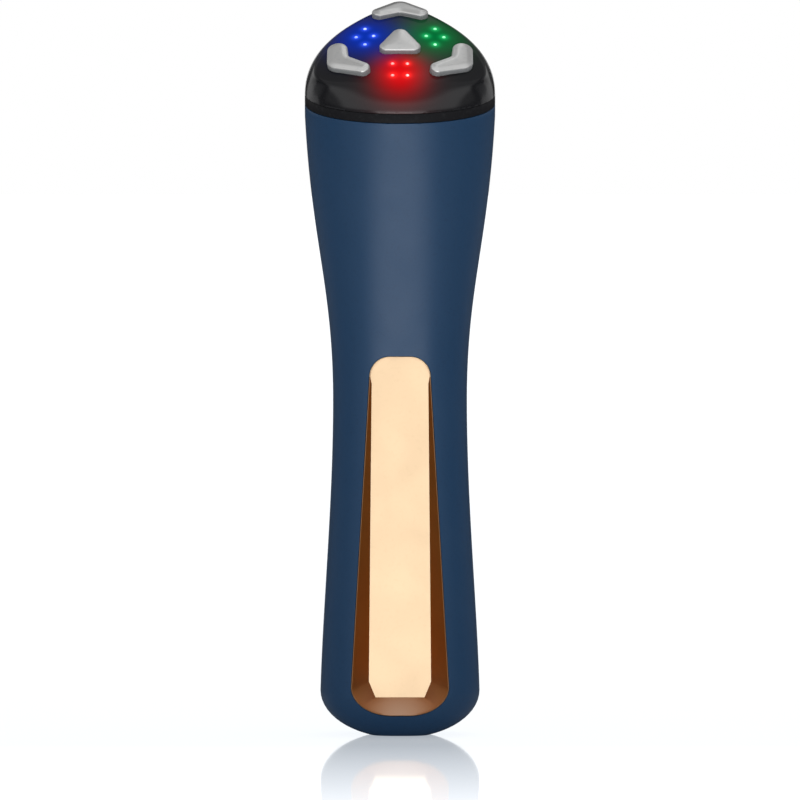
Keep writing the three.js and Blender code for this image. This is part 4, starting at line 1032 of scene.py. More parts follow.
BLACK_DEEP = rgba(26, 26, 28)
WIDE_GLOWS = {"blue": (0.0073, rgba(6, 46, 168)), "green": (0.007, rgba(0, 106, 50)),
              "red": (0.0052, rgba(198, 2, 4))}  # reach and colour round each group of lights
NEAR_GLOWS = {"blue": rgba(50, 86, 240), "green": rgba(30, 190, 105), "red": rgba(250, 45, 38)}
TIP_COLOURS = {"blue": (rgba(52, 90, 236), rgba(214, 226, 255)),
               "green": (rgba(32, 190, 106), rgba(206, 255, 228)),
               "red": (rgba(250, 52, 46), rgba(255, 222, 218))}  # at the rim and at the middle of each tip
RED_SPILL = rgba(162, 17, 21)


class Palette:
    """Every finish of the wand, each built once from the shared effects."""

    def __init__(self, effects: Effects, lights: "Lights") -> None:
        """Builds the materials.

        Args:
            effects: The shared groups.
            lights: The lights that shine through the cap, set in the head's dome.
        """
        def made(kind: type[Finish], name: str, colour: Colour, shade: Colour, *rest: float,
                 **settings: object) -> Material:
            """Material of one finish."""
            return kind(name, colour, shade, *rest, **settings).build(effects)

        self.navy = made(Finish, "soft_touch_navy", rgba(16, 57, 91), rgba(14, 54, 87), 0.38, 0.44,
                         grain_scale=4200.0, grain_height=6e-6)
        self.cap = made(LitGloss, "smoked_cap", BLACK_DEEP, BLACK_DEEP, 0.17, 0.22, specular=0.0, coat=1.0,
                        grain_scale=3000.0, grain_height=1e-6, glows=lights.glows(), face=lights.head)
        self.trim = made(Finish, "satin_trim", BLACK_DEEP, rgba(34, 34, 36), 0.38, 0.46, specular=0.08,
                         grain_scale=3600.0, grain_height=3e-6)
        self.steel = made(BrushedMetal, "satin_electrode", rgba(220, 220, 219), rgba(212, 213, 213), 0.3,
                          0.34, grain_scale=2600.0, grain_height=4e-7)
        # the plates' side walls: the same steel painted darker and less metallic, as painted shade
        self.plate_wall_painted_shade = made(Finish, "satin_electrode_wall", rgba(150, 151, 151), rgba(143, 144, 144), 0.4,
                               0.46, metallic=0.25, specular=0.3, grain_scale=2600.0, grain_height=4e-7)
        self.gold_floor = made(BrushedMetal, "champagne_floor", rgba(213, 187, 154), rgba(211, 185, 152),
                               0.42, 0.46, grain_scale=3000.0, grain_height=3e-7, stretch=(1.0, 1.0, 0.03))
        # the tray's sides: the gold painted darker toward bronze as painted shade, and paler at the lower end
        # as a painted highlight
        self.gold_painted_shade_side = made(GoldWithPaintedShade, "bronze_sides", rgba(164, 101, 46), rgba(198, 160, 134), 0.38, 0.44,
                              grain_scale=2400.0, grain_height=8e-7)
        # the tray's rim: the polish is real, but its gold tone is painted to the colour of the pale highlight
        # line along it
        self.rim_gold_painted_highlight = made(Finish, "polished_rim", rgba(162, 122, 90), rgba(154, 115, 84), 0.3, 0.36,
                             metallic=1.0, grain_height=5e-7)
        self.window = made(Finish, "smoked_window", rgba(58, 64, 72), rgba(50, 56, 64), 0.1, 0.18, coat=0.6,
                           grain_height=1e-6)
        self.clear = made(Finish, "clear_light_plastic", rgba(214, 220, 226), rgba(206, 212, 220), 0.12, 0.2,
                          clear=0.4, grain_height=1e-6)
        self.board = made(Finish, "circuit_board", rgba(24, 74, 48), rgba(34, 92, 60), 0.45, 0.6,
                          grain_scale=1600.0)
        self.dark = made(Finish, "dark_moulding", rgba(44, 44, 47), rgba(38, 38, 41), 0.5, 0.62,
                         grain_scale=2600.0)
        self.ferrite = made(Finish, "ferrite", rgba(62, 62, 66), rgba(54, 54, 57), 0.7, 0.85,
                            grain_scale=1800.0, grain_height=3e-5)
        self.pale = made(Finish, "pale_moulding", rgba(214, 213, 207), rgba(206, 205, 198), 0.5, 0.62,
                         grain_scale=2200.0)
        self.sleeve = made(Finish, "cell_sleeve", rgba(58, 108, 164), rgba(50, 98, 152), 0.3, 0.42, coat=0.3,
                           grain_scale=1400.0)
        self.screw = made(BrushedMetal, "plated_screw", rgba(176, 178, 180), rgba(160, 162, 165), 0.28, 0.4,
                          grain_scale=3200.0, grain_height=2e-6)
        self.contact = made(Finish, "gold_contact", rgba(226, 184, 110), rgba(212, 168, 96), 0.22, 0.3,
                            metallic=1.0, grain_height=1e-6)
        self.wire_red = made(Finish, "red_lead", rgba(168, 34, 30), rgba(154, 28, 26), 0.4, 0.55,
                             grain_scale=1800.0)
        self.wire_black = made(Finish, "black_lead", rgba(30, 30, 32), rgba(24, 24, 26), 0.4, 0.55,
                               grain_scale=1800.0)
        self.tips = {name: made(Lamp, f"{name}_tip", *TIP_COLOURS[name], 0.2, 0.3, specular=0.2,
                                cores=tuple(Glow(lights.on_dome(tip), *lights.core) for tip in tips))
                     for name, (_, tips) in lights.groups().items()}


def dress(piece: Piece, *materials: Material) -> Piece:
    """Gives a piece its materials in slot order."""
    piece.data.materials.clear()
    for material in materials:
        piece.data.materials.append(material)
    return piece


def mount(piece: Piece, body: Body, node: str) -> None:
    """Makes a piece ride on its body and stand for its CAD node.

    Args:
        piece: Finished piece.
        body: Body that it moves with.
        node: CAD node that it replaces.
    """
    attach(piece, body.value)
    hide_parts(node)
    log.info("%s: %d faces, rides on %s", piece.name, len(piece.data.polygons), body.value)


def dress_node(node: str, material: Material) -> None:
    """Gives a carried-over CAD node its material."""
    dress(frame["nodes"][node], material)
    log.info("%s: CAD node in %s", node, material.name)


@dataclass
class Opening:
    """An opening in the back of the handle, with a rounded lip."""

    outline: Outline
    handle: Handle
    lip: float = 0.00025
    front: float = 0.007
    steps: int = 4

    def tool(self, name: str) -> Piece:
        """Closed body that cuts the opening."""
        over = self.handle.laid(self.outline(self.lip), SKIM)
        return loft(name, [upright_ring(self.outline(0.0), self.front),
                           *self.handle.edged(self.outline, self.lip, self.steps, way=1),
                           over, at_depth(over, REACH)])


def circle(height: float, radius: float, steps: int = 96) -> Outline:
    """Outline of a round opening at one height."""
    return lambda grow: arc((0, height), radius + grow, 0, TURN, steps)[:-1]


def slot_outline(height: float, half_width: float, half_height: float, corner: float,
                 steps: int = 12) -> Outline:
    """Outline of an upright or level slot with round corners.

    Args:
        height: Height of its middle.
        half_width: Half its width.
        half_height: Half its height.
        corner: Radius of its corners.
        steps: Chords in each corner.

    Returns:
        A function from how far it is grown to its points.
    """

    def grown(grow: float) -> list[Point]:
        """Points of the outline, grown outward."""
        points: list[Point] = []
        for turn, (x, z) in enumerate(((1, 1), (-1, 1), (-1, -1), (1, -1))):
            centre = (x * (half_width - corner), height + z * (half_height - corner))
            start = turn * QUARTER
            points += arc(centre, corner + grow, start, start + QUARTER, steps)
        return points

    return grown


@dataclass
class PushButton:
    """A dished push button on the back of the handle."""

    name: str
    body: Body
    height: float
    radius: float
    handle: Handle
    gap: float = 0.00022
    proud: float = 0.0009
    edge: float = 0.0005
    dish: float = 0.00035
    skirt: float = 0.0002  # straight foot of the key
    dish_pace: float = 1.6  # how soon the dish reaches its depth
    depth: float = 0.0035
    edge_steps: int = 6
    dish_rows: int = 14

    def opening(self) -> Opening:
        """Opening that the button slides in."""
        return Opening(circle(self.height, self.radius + self.gap), self.handle)

    def build(self, palette: Palette) -> None:
        """Makes the key with its rounded edge and dished face."""
        back = self.handle.depth(self.radius, self.height) - self.depth
        outline = circle(self.height, self.radius)
        rings = [upright_ring(outline(0.0), back), upright_ring(outline(0.0), back + self.skirt)]
        rings += self.handle.edged(outline, self.edge, self.edge_steps, self.proud)
        inner = self.radius - self.edge
        for row in range(1, self.dish_rows):
            share = row / self.dish_rows
            sink = self.dish * math.sin(min(share * self.dish_pace, 1) * QUARTER) ** 2
            rings.append(self.handle.laid(circle(self.height, inner * (1 - share))(0.0), self.proud - sink))
        key = dress(loft(f"{self.name}_key", rings, hubs=True), palette.navy)
        mount(key, self.body, f"{self.name}_button")
        for part in ("plunger", "switch"):
            dress_node(f"{self.name}_{part}", palette.dark)


@dataclass
class LevelWindow:
    """Slim window over the charge light on the back."""

    handle: Handle
    height: float = 0.138
    half_width: float = 0.0011
    half_length: float = 0.004
    corner: float = 0.0009
    gap: float = 0.00012
    front: float = 0.0072
    edge: float = 0.0002
    edge_steps: int = 4
    lip: float = 0.00015

    def opening(self) -> Opening:
        """Opening that the window fills."""
        outline = slot_outline(self.height, self.half_width + self.gap, self.half_length + self.gap,
                               self.corner + self.gap)
        return Opening(outline, self.handle, self.lip)

    def build(self, palette: Palette) -> None:
        """Makes the window, flush with the handle and rounded at its edge."""
        outline = slot_outline(self.height, self.half_width, self.half_length, self.corner)
        rings = [upright_ring(outline(0.0), self.front),
                 *self.handle.edged(outline, self.edge, self.edge_steps)]
        window = dress(loft("level_lens", rings), palette.window)
        mount(window, Body.HOUSING, "level_window")


@dataclass
class ChargingPort:
    """Round-ended socket low on the back."""

    handle: Handle
    height: float = 0.0155
    half_width: float = 0.00445
    half_height: float = 0.0016
    sheet: float = 0.0003
    setback: float = 0.0006
    depth: float = 0.0073
    gap: float = 0.00025
    shell_lip: float = 0.0005
    lip: float = 0.0001
    floor: float = 0.0008  # thickness behind the mouth
    tongue: tuple[float, float, float] = (0.0033, 0.00035, 0.00012)  # half width, half height, corner
    tongue_back: float = 0.0013  # from the mouth to its tip
    tongue_steps: int = 3
    hair: float = 1e-6  # keeps the round ends from folding

    def opening(self) -> Opening:
        """Opening round the socket."""
        outline = slot_outline(self.height, self.half_width + self.gap, self.half_height + self.gap,
                               self.half_height + self.gap - self.hair)
        return Opening(outline, self.handle, self.shell_lip)

    def build(self, palette: Palette) -> None:
        """Makes the socket's drawn shell and its tongue."""
        back = self.handle.depth(0, self.height) - self.setback
        front = back - self.depth
        outline = slot_outline(self.height, self.half_width, self.half_height, self.half_height - self.hair)
        shell = loft("socket_shell", [upright_ring(outline(grow), y) for grow, y in (
            (0, front), (0, back - self.lip), (-self.lip, back), (self.lip - self.sheet, back),
            (-self.sheet, back - self.lip), (-self.sheet, front + self.floor))])
        tongue_outline = slot_outline(self.height, *self.tongue, self.tongue_steps)
        tip = back - self.tongue_back
        tongue = loft("tongue", [upright_ring(tongue_outline(grow), y) for grow, y in (
            (0, front + self.floor - self.sheet), (0, tip - 2 * self.lip), (-self.lip, tip))])
        dress(carve(shell, [tongue], "UNION"), palette.screw, palette.dark)
        mount(shell, Body.HOUSING, "charging_port")
        dress_node("port_board", palette.board)


@dataclass
class GripElectrode:
    """The long gold tray in the front of the handle."""

    tray: Tray
    gap: float = 0.00006
    lip: float = 0.00012
    sheet: float = 0.0011
    bead: float = 0.00008
    fillet: float = 0.00006
    edge_steps: int = 4
    side_rows: int = 10

    def trough(self) -> Piece:
        """Body that cuts the tray's place in the front shell, its lip rounded."""
        tray, gap = self.tray, self.gap
        over = tray.rim_ring(gap + self.lip, SKIM)
        return loft("trough", [
            tray.floor_ring(self.sheet + gap, self.sheet + gap),
            *tray.handle.edged(lambda grow: tray.rim_outline(gap + grow), self.lip, self.edge_steps,
                               way=1, side=-1),
            over, at_depth(over, -REACH)])

    def build(self, palette: Palette) -> None:
        """Makes the tray: beaded rim, sloping sides and flat floor."""
        tray = self.tray
        rings = [tray.floor_ring(self.sheet, self.sheet)]
        rings += tray.handle.edged(tray.rim_outline, self.bead, self.edge_steps, side=-1)
        rings += [tray.rim_ring(inset - tray.rim, -sink)
                  for sink, inset in rounding(self.fillet, self.edge_steps)]
        rim_faces = (len(rings) - 1) * len(rings[0])
        top, floor = rings[-1], tray.floor_ring(0.0)
        rings += [between(top, floor, row / self.side_rows) for row in range(1, self.side_rows)]
        piece = loft("grip_tray", [*rings, floor])
        # the sides take the gold with painted shade and the rim its painted-highlight tone; the floor keeps
        # the gold's own tone
        dress(piece, palette.gold_painted_shade_side, palette.gold_floor, palette.rim_gold_painted_highlight)
        faces = piece.data.polygons
        for face in faces[:rim_faces]:
            face.material_index = 1 if face.center.z > tray.top - tray.top_corner else 2
        faces[-1].material_index = 1
        mount(piece, Body.HOUSING, "grip_electrode")
        dress_node("grip_contact_spring", palette.contact)


@dataclass
class Shells:
    """The two moulded halves of the handle."""

    handle: Handle
    grip: GripElectrode
    openings: list[Opening]
    seam: float = 0.00008
    lap: float = 0.0008
    lift: float = -0.00012
    edge: float = 0.0002
    bevel: float = 0.00006  # first step of the rim's rounded edge

    def _whole(self, name: str) -> Piece:
        """Hollow handle, open at the parting line with a rounded rim."""
        handle, edge, bevel = self.handle, self.edge, self.bevel
        rim = self.lift - edge
        lip = ((bevel, self.lift - bevel), (edge, self.lift), (handle.wall - edge, self.lift))
        return loft(name, [*handle.rings(0.0, rim), *(handle.parting_ring(*at) for at in lip),
                           *reversed(handle.rings(handle.wall, rim))])

    def _inner_layer(self, low: float, high: float) -> Piece:
        """Inner half of the wall, kept between two depths, for the lap joint."""
        handle = self.handle
        rim = self.lift - self.edge
        layer = loft("layer", [*handle.rings(handle.wall / 2, rim),
                               *reversed(handle.rings(handle.wall, rim))])
        return carve(layer, [slab("slice", low, high)], "INTERSECT")

    def build(self, palette: Palette) -> None:
        """Makes the front and the rear shell with a lap joint between them."""
        form, front, rear = self._whole("form"), self._whole("front_half"), self._whole("rear_half")
        carve(front, [slab("behind", -self.seam, REACH), self._inner_layer(-self.lap - self.seam, REACH),
                      self.grip.trough()])
        carve(rear, [slab("before", -REACH, self.seam)])
        carve(rear, [self._inner_layer(-self.lap, self.seam * 2)], "UNION")
        carve(rear, [opening.tool("opening") for opening in self.openings])
        borrow_normals(front, self._copy(form))
        borrow_normals(rear, form)
        for piece, node in ((front, "front_shell"), (rear, "rear_shell")):
            mount(dress(piece, palette.navy), Body.HOUSING, node)

    @staticmethod
    def _copy(piece: Piece) -> Piece:
        """Copy of an object with a mesh of its own."""
        twin = piece.copy()
        twin.data = piece.data.copy()
        bpy.context.scene.collection.objects.link(twin)
        return twin


@dataclass
class Plate:
    """An electrode plate: its outline, where it sits and which way it points."""

    name: str
    outline: Outline
    reach: float
    angle: float
    heading: float
    middle: float  # inset at which the outline closes up
    rise: float = 0.00125  # from the dome to the start of the plate's crown


@dataclass(frozen=True)
class Arm:
    """One arm of an elbow plate: how long it is and how round its end."""

    length: float
    tip: float


@dataclass
class Electrodes:
    """The three elbow electrodes and the centre triangle."""

    head: Head
    corner: float = 0.003
    throat: float = 0.0025
    fillet: float = 0.0016
    top_spread: float = math.radians(62)
    side_spread: float = math.radians(63)
    top_arm: Arm = Arm(0.0056, 0.00195)
    upper_arm: Arm = Arm(0.0042, 0.00255)
    lower_arm: Arm = Arm(0.0067, 0.00185)
    top_rise: float = 0.00108
    seat: float = 0.0011
    edge: float = 0.00055
    crown: float = 0.00022
    top_reach: float = 0.0166
    side_reach: float = 0.01575
    side_angle: float = math.radians(-20)
    side_heading: float = math.radians(-32)
    triangle_tip: float = 0.0036
    triangle_foot: float = 0.0012
    triangle_half: float = 0.00335
    triangle_corner: float = 0.0017
    triangle_apex: float = 0.0021
    triangle_round: float = 0.8  # share of its corners that an inset may use up
    gap: float = 0.00013
    pocket_top: float = 0.01
    slack: float = 0.0001  # keeps the innermost ring from closing up
    # faces whose normal rises less than this are the plate's wall and take the steel with painted shade
    steep: float = 0.55  # rise of the normal under which the edge counts as the plate's wall
    corner_steps: int = 24
    tip_steps: int = 28
    throat_steps: int = 16
    triangle_steps: int = 20
    edge_steps: int = 9
    crown_rows: int = 8
    crown_power: float = 1.6

    def elbow(self, spread: float, first: Arm, second: Arm) -> Outline:
        """Outline of two tapering arms that leave the origin, away from +y.

        Args:
            spread: Angle of each arm from the elbow's axis.
            first: The arm toward -x.
            second: The arm toward +x.

        Returns:
            The outline for any inset.
        """
        turns = (TURN * 0.75 - spread, -TURN / 4 + spread)
        outer = [math.acos((self.corner - arm.tip) / arm.length) for arm in (first, second)]
        inner = [math.acos((self.throat - arm.tip) / arm.length) for arm in (first, second)]
        inside = (turns[0] - TURN + inner[0], turns[1] - inner[1])
        depth = (self.throat + self.fillet) / math.cos((inside[0] - inside[1]) / 2)
        hollow = (inside[0] + inside[1]) / 2

        def outline(inset: float) -> list[Point]:
            """The outline pulled in by an inset."""
            ends = [(arm.length * math.cos(turn), arm.length * math.sin(turn))
                    for arm, turn in zip((first, second), turns)]
            pit = (depth * math.cos(hollow), depth * math.sin(hollow))
            return [
                *arc((0, 0), self.corner - inset, turns[1] + outer[1], turns[0] - outer[0],
                     self.corner_steps),
                *arc(ends[0], first.tip - inset, turns[0] - outer[0], turns[0] + inner[0], self.tip_steps),
                *arc(pit, self.fillet + inset, inside[0] + math.pi, inside[1] + math.pi,
                     self.throat_steps),
                *arc(ends[1], second.tip - inset, inside[1], turns[1] + outer[1], self.tip_steps),
            ]

        return outline

    def triangle(self, inset: float) -> list[Point]:
        """Triangle with round corners; far inside it shrinks to its middle."""
        round_to = self.triangle_corner * self.triangle_round
        radius = self.triangle_corner - min(inset, round_to)
        shrink = 1 - max(inset - round_to, 0) / (self.triangle_foot + self.triangle_corner - round_to)
        rise = self.triangle_tip + self.triangle_foot
        taper = math.asin((self.triangle_apex - self.triangle_corner) / math.hypot(self.triangle_half, rise))
        lean = math.atan2(self.triangle_half, rise) - taper
        apex = radius + self.triangle_apex - self.triangle_corner
        half, foot, steps = self.triangle_half, -self.triangle_foot, self.triangle_steps
        points = [
            *arc((half, foot), radius, -QUARTER, lean, steps),
            *arc((0, self.triangle_tip), apex, lean, math.pi - lean, steps),
            *arc((-half, foot), radius, math.pi - lean, math.pi * 1.5, steps),
        ]
        return [(x * shrink, y * shrink) for x, y in points]

    def plates(self) -> list[Plate]:
        """Every plate of the face."""
        top = self.elbow(self.top_spread, self.top_arm, self.top_arm)
        right = self.elbow(self.side_spread, self.upper_arm, self.lower_arm)
        left = self.elbow(self.side_spread, self.lower_arm, self.upper_arm)
        side_middle = self.lower_arm.tip - self.slack
        return [
            Plate("top", top, self.top_reach, QUARTER, QUARTER, self.top_arm.tip - self.slack, self.top_rise),
            Plate("right", right, self.side_reach, self.side_angle, self.side_heading, side_middle),
            Plate("left", left, self.side_reach, math.pi - self.side_angle, math.pi - self.side_heading,
                  side_middle),
            Plate("center", self.triangle, 0.0, 0.0, QUARTER,
                  self.triangle_foot + self.triangle_corner - 4 * self.slack),
        ]

    def pocket(self, plate: Plate) -> Piece:
        """Body that cuts a plate's pocket in the cap."""
        rings = [flat_ring(plate.outline(-self.gap), z) for z in (-self.seat - self.gap, self.pocket_top)]
        return place(loft("pocket", rings), self.head.seat(plate.reach, plate.angle, plate.heading))

    def build(self, palette: Palette) -> None:
        """Makes the plates with their rounded edges and slightly crowned tops."""
        for plate in self.plates():
            levels = [(0.0, -self.seat), (0.0, plate.rise - self.edge - self.slack)]
            levels += [(inset, plate.rise - sink) for inset, sink in rounding(self.edge, self.edge_steps)]
            for row in range(1, self.crown_rows + 1):
                inset = lerp(self.edge, plate.middle, row / self.crown_rows)
                share = max(plate.middle - inset, 0.0) / (plate.middle - self.edge)
                levels.append((inset, plate.rise + self.crown * (1 - share ** self.crown_power)))
            piece = loft(f"{plate.name}_plate", [flat_ring(plate.outline(inset), z) for inset, z in levels])
            dress(piece, palette.steel, palette.plate_wall_painted_shade)
            # steep faces, the plates' walls, take the steel with painted shade
            for face in piece.data.polygons:
                face.material_index = int(abs(face.normal.z) < self.steep)
            place(piece, self.head.seat(plate.reach, plate.angle, plate.heading))
            mount(piece, Body.HOUSING, f"{plate.name}_electrode")
            dress_node(f"{plate.name}_electrode_nut", palette.screw)
            dress_node(f"{plate.name}_contact", palette.contact)


@dataclass
class Lights:
    """The three groups of four light tips."""

    head: Head
    reach: float = 0.00975
    red_reach: float = 0.0087
    angle: float = math.radians(28.5)
    tip: float = 0.00045
    bore: float = 0.0005
    bore_span: Point = (-0.008, 0.004)
    root: float = 0.0005  # from the foot of the plate that joins the tips up to theirs
    diamond: Point = (0.00215, 0.00335)
    square: Point = (0.0018, 0.0021)
    margin: float = 0.0009
    thickness: float = 0.0024
    under: float = 0.00483  # from the dome to the top of the plate that joins the tips
    sunk: float = 0.0001  # from the dome down to where a tip's own dome starts
    bulge: float = 0.00025
    sides: int = 32
    corner_steps: int = 4
    dome_rows: int = 6
    wide_softness: float = 2.2
    core: Point = (0.0004, 2.0)  # reach and softness of the pale middle of a tip
    near_glow: Point = (0.0009, 1.6)  # and of the glow round it
    spill_at: Point = (0.0, -0.0135)
    spill: Point = (0.0056, 2.0)

    def groups(self) -> dict[str, tuple[Point, list[Point]]]:
        """Middle and tip places of each light, in the face's frame."""
        corners = [(-1, -1), (1, -1), (-1, 1), (1, 1)]
        cross = [(-1, 0), (1, 0), (0, -1), (0, 1)]
        made = {}
        for name, reach, turn, pattern, size in (
            ("blue", self.reach, math.pi - self.angle, cross, self.diamond),
            ("green", self.reach, self.angle, cross, self.diamond),
            ("red", self.red_reach, -QUARTER, corners, self.square),
        ):
            middle = (reach * math.cos(turn), reach * math.sin(turn))
            tips = [(middle[0] + x * size[0], middle[1] + y * size[1]) for x, y in pattern]
            made[name] = (middle, tips)
        return made

    def glows(self) -> tuple[Glow, ...]:
        """Wide patches of each colour and a tight one round every tip."""
        made = []
        for name, (middle, tips) in self.groups().items():
            reach, colour = WIDE_GLOWS[name]
            made.append(Glow(self.on_dome(middle), reach, self.wide_softness, colour))
            made += [Glow(self.on_dome(tip), *self.near_glow, NEAR_GLOWS[name]) for tip in tips]
        return *made, Glow(self.on_dome(self.spill_at), *self.spill, RED_SPILL)

    def on_dome(self, spot: Point) -> Vector:
        """Place on the dome over a spot of the face."""
        return self.head.frame @ Vector((*spot, -self.head.drop(math.hypot(*spot))))

    def bores(self) -> list[Piece]:
        """Bodies that drill the cap for the tips."""
        profile = [(self.bore, z) for z in self.bore_span]
        return [self._stand(turned("bore", profile, self.sides), tip)
                for _, tips in self.groups().values() for tip in tips]

    def _stand(self, piece: Piece, spot: Point) -> Piece:
        """Moves a piece that is turned about Z onto a spot of the face."""
        return place(piece, self.head.frame @ Matrix.Translation((*spot, 0)))

    def build(self, palette: Palette) -> None:
        """Makes each light's plate with its four domed rods."""
        for name, (middle, tips) in self.groups().items():
            halves = [max(abs(tip[k] - middle[k]) for tip in tips) + self.margin for k in range(2)]
            outline = slot_outline(0.0, *halves, self.margin / 2, self.corner_steps)
            top, bottom = -self.under, -self.under - self.thickness
            flat = [(middle[0] + x, middle[1] + y) for x, y in outline(0.0)]
            guide = loft(f"{name}_light_tips", [flat_ring(flat, z) for z in (bottom, top)])
            place(guide, self.head.frame)
            carve(guide, [self._rod(tip, bottom + self.root) for tip in tips], "UNION")
            mount(dress(guide, palette.tips[name]), Body.HOUSING, f"{name}_light_guide")
            dress_node(f"{name}_led", palette.clear)

    def _rod(self, spot: Point, foot: float) -> Piece:
        """Round rod from its foot up to a domed tip on a spot of the face."""
        shoulder = -self.head.drop(math.hypot(*spot)) - self.sunk
        turns = (QUARTER * row / self.dome_rows for row in range(self.dome_rows))
        domed = [(self.tip * math.cos(turn), shoulder + self.bulge * math.sin(turn)) for turn in turns]
        return self._stand(turned("rod", [(self.tip, foot), *domed], self.sides), spot)


@dataclass
class HeadCap:
    """The smoked cap of the treatment head and the trim ring under it."""

    head: Head
    electrodes: Electrodes
    lights: Lights
    wall: float = 0.0024
    trim_height: float = 0.0022
    gap: float = 0.00006
    collar: float = 0.0025
    collar_wall: float = 0.0014
    collar_rise: float = 0.001
    collar_fall: float = 0.0024
    edge: float = 0.0001
    bevel: float = 0.00004

    def _form(self, name: str) -> Piece:
        """Hollow cap with a rounded lower edge."""
        handle, edge, lift = self.head.handle, self.edge, self.trim_height + self.gap
        outer = self.head.rings(0.0, lift + edge)
        inner = self.head.rings(self.wall, lift + edge)
        rings = [*reversed(inner), handle.parting_ring(self.wall - edge, lift),
                 handle.parting_ring(edge, lift), *outer]
        return loft(name, rings, hubs=True)

    def _trim(self, palette: Palette) -> None:
        """Makes the trim ring with its rounded edges and its collar."""
        handle, height, edge, bevel = self.head.handle, self.trim_height, self.edge, self.bevel
        inner = self.collar + self.collar_wall
        high, low = height + self.collar_rise, -self.collar_fall
        section = (
            (edge, 0.0), (bevel, bevel), (0.0, edge), (0.0, height - edge), (bevel, height - bevel),
            (edge, height), (self.collar, height), (self.collar, high), (inner, high), (inner, low),
            (self.collar, low), (self.collar, 0.0),
        )
        points = [point for inset, lift in section for point in handle.parting_ring(inset, lift)]
        ring = new_piece("trim_band", points, skin(len(section), handle.sides, closed=True))
        mount(dress(ring, palette.trim), Body.HOUSING, "head_trim_ring")

    def build(self, palette: Palette) -> None:
        """Makes the cap with its pockets and bores, and the trim ring."""
        cap = self._form("smoked_head_cap")
        tools = [self.electrodes.pocket(plate) for plate in self.electrodes.plates()]
        carve(cap, tools + self.lights.bores())
        borrow_normals(cap, self._form("form"))
        mount(dress(cap, palette.cap), Body.HOUSING, "head_cap")
        self._trim(palette)


class InnerParts:
    """The parts inside the housing, which keep their CAD solids."""

    def build(self, palette: Palette) -> None:
        """Gives every inner node its finish."""
        finishes = {
            palette.pale: ("head_carrier", "battery_cradle"),
            palette.board: ("led_board", "main_board", "cell_protection_board"),
            palette.dark: ("controller_chip", "storage_capacitor"),
            palette.ferrite: ("rf_transformer", "boost_inductor"),
            palette.sleeve: ("battery_cell",),
            palette.wire_red: ("battery_lead_red",),
            palette.wire_black: ("battery_lead_black", "light_ribbon"),
            palette.screw: [f"{kind}_screw_{turn}" for kind in ("carrier", "board") for turn in range(1, 5)],
        }
        for material, nodes in finishes.items():
            for node in nodes:
                dress_node(node, material)


@dataclass(frozen=True)
class Softbox:
    """A rectangular studio light aimed at the wand."""

    name: str
    azimuth: float
    elevation: float
    distance: float
    width: float
    height: float
    power: float
    mirrored: bool = False
    lit: tuple[str, ...] = ()  # the only pieces that it lights, if any are named

    def build(self, target: Vector) -> None:
        """Hangs the light so that it faces the target."""
        turn, lift = math.radians(self.azimuth), math.radians(self.elevation)
        away = Vector((math.sin(turn) * math.cos(lift), -math.cos(turn) * math.cos(lift), math.sin(lift)))
        data = bpy.data.lights.new(self.name, "AREA")
        data.shape = "RECTANGLE"
        data.size, data.size_y = self.width, self.height
        data.energy = self.power
        lamp = bpy.data.objects.new(self.name, data)
        lamp.location = target + away * self.distance
        lamp.rotation_euler = away.to_track_quat("Z", "Y").to_euler()
        lamp.visible_camera = False
        lamp.visible_glossy = self.mirrored
        bpy.context.scene.collection.objects.link(lamp)
        if self.lit:
            lamp.light_linking.receiver_collection = bpy.data.collections.new(f"{self.name}_lit")
            for name in self.lit:
                lamp.light_linking.receiver_collection.objects.link(bpy.data.objects[name])


@dataclass(frozen=True)
class Surround:
    """Brightness that polished surfaces mirror, changing along one measure of direction."""

    first: float
    changes: tuple[tuple[float, float, float], ...]

    def level(self, patch: Patch, along: Socket) -> object:
        """Brightness at one direction.

        Args:
            patch: Where the nodes are laid.
            along: Turn away from the front in radians, or another measure of direction.

        Returns:
            The first brightness with every change that comes before the direction.
        """
        total: object = self.first
        for start, end, change in self.changes:
            total = patch.math("ADD", total, patch.ramp(along, start, end, 0.0, change))
        return total


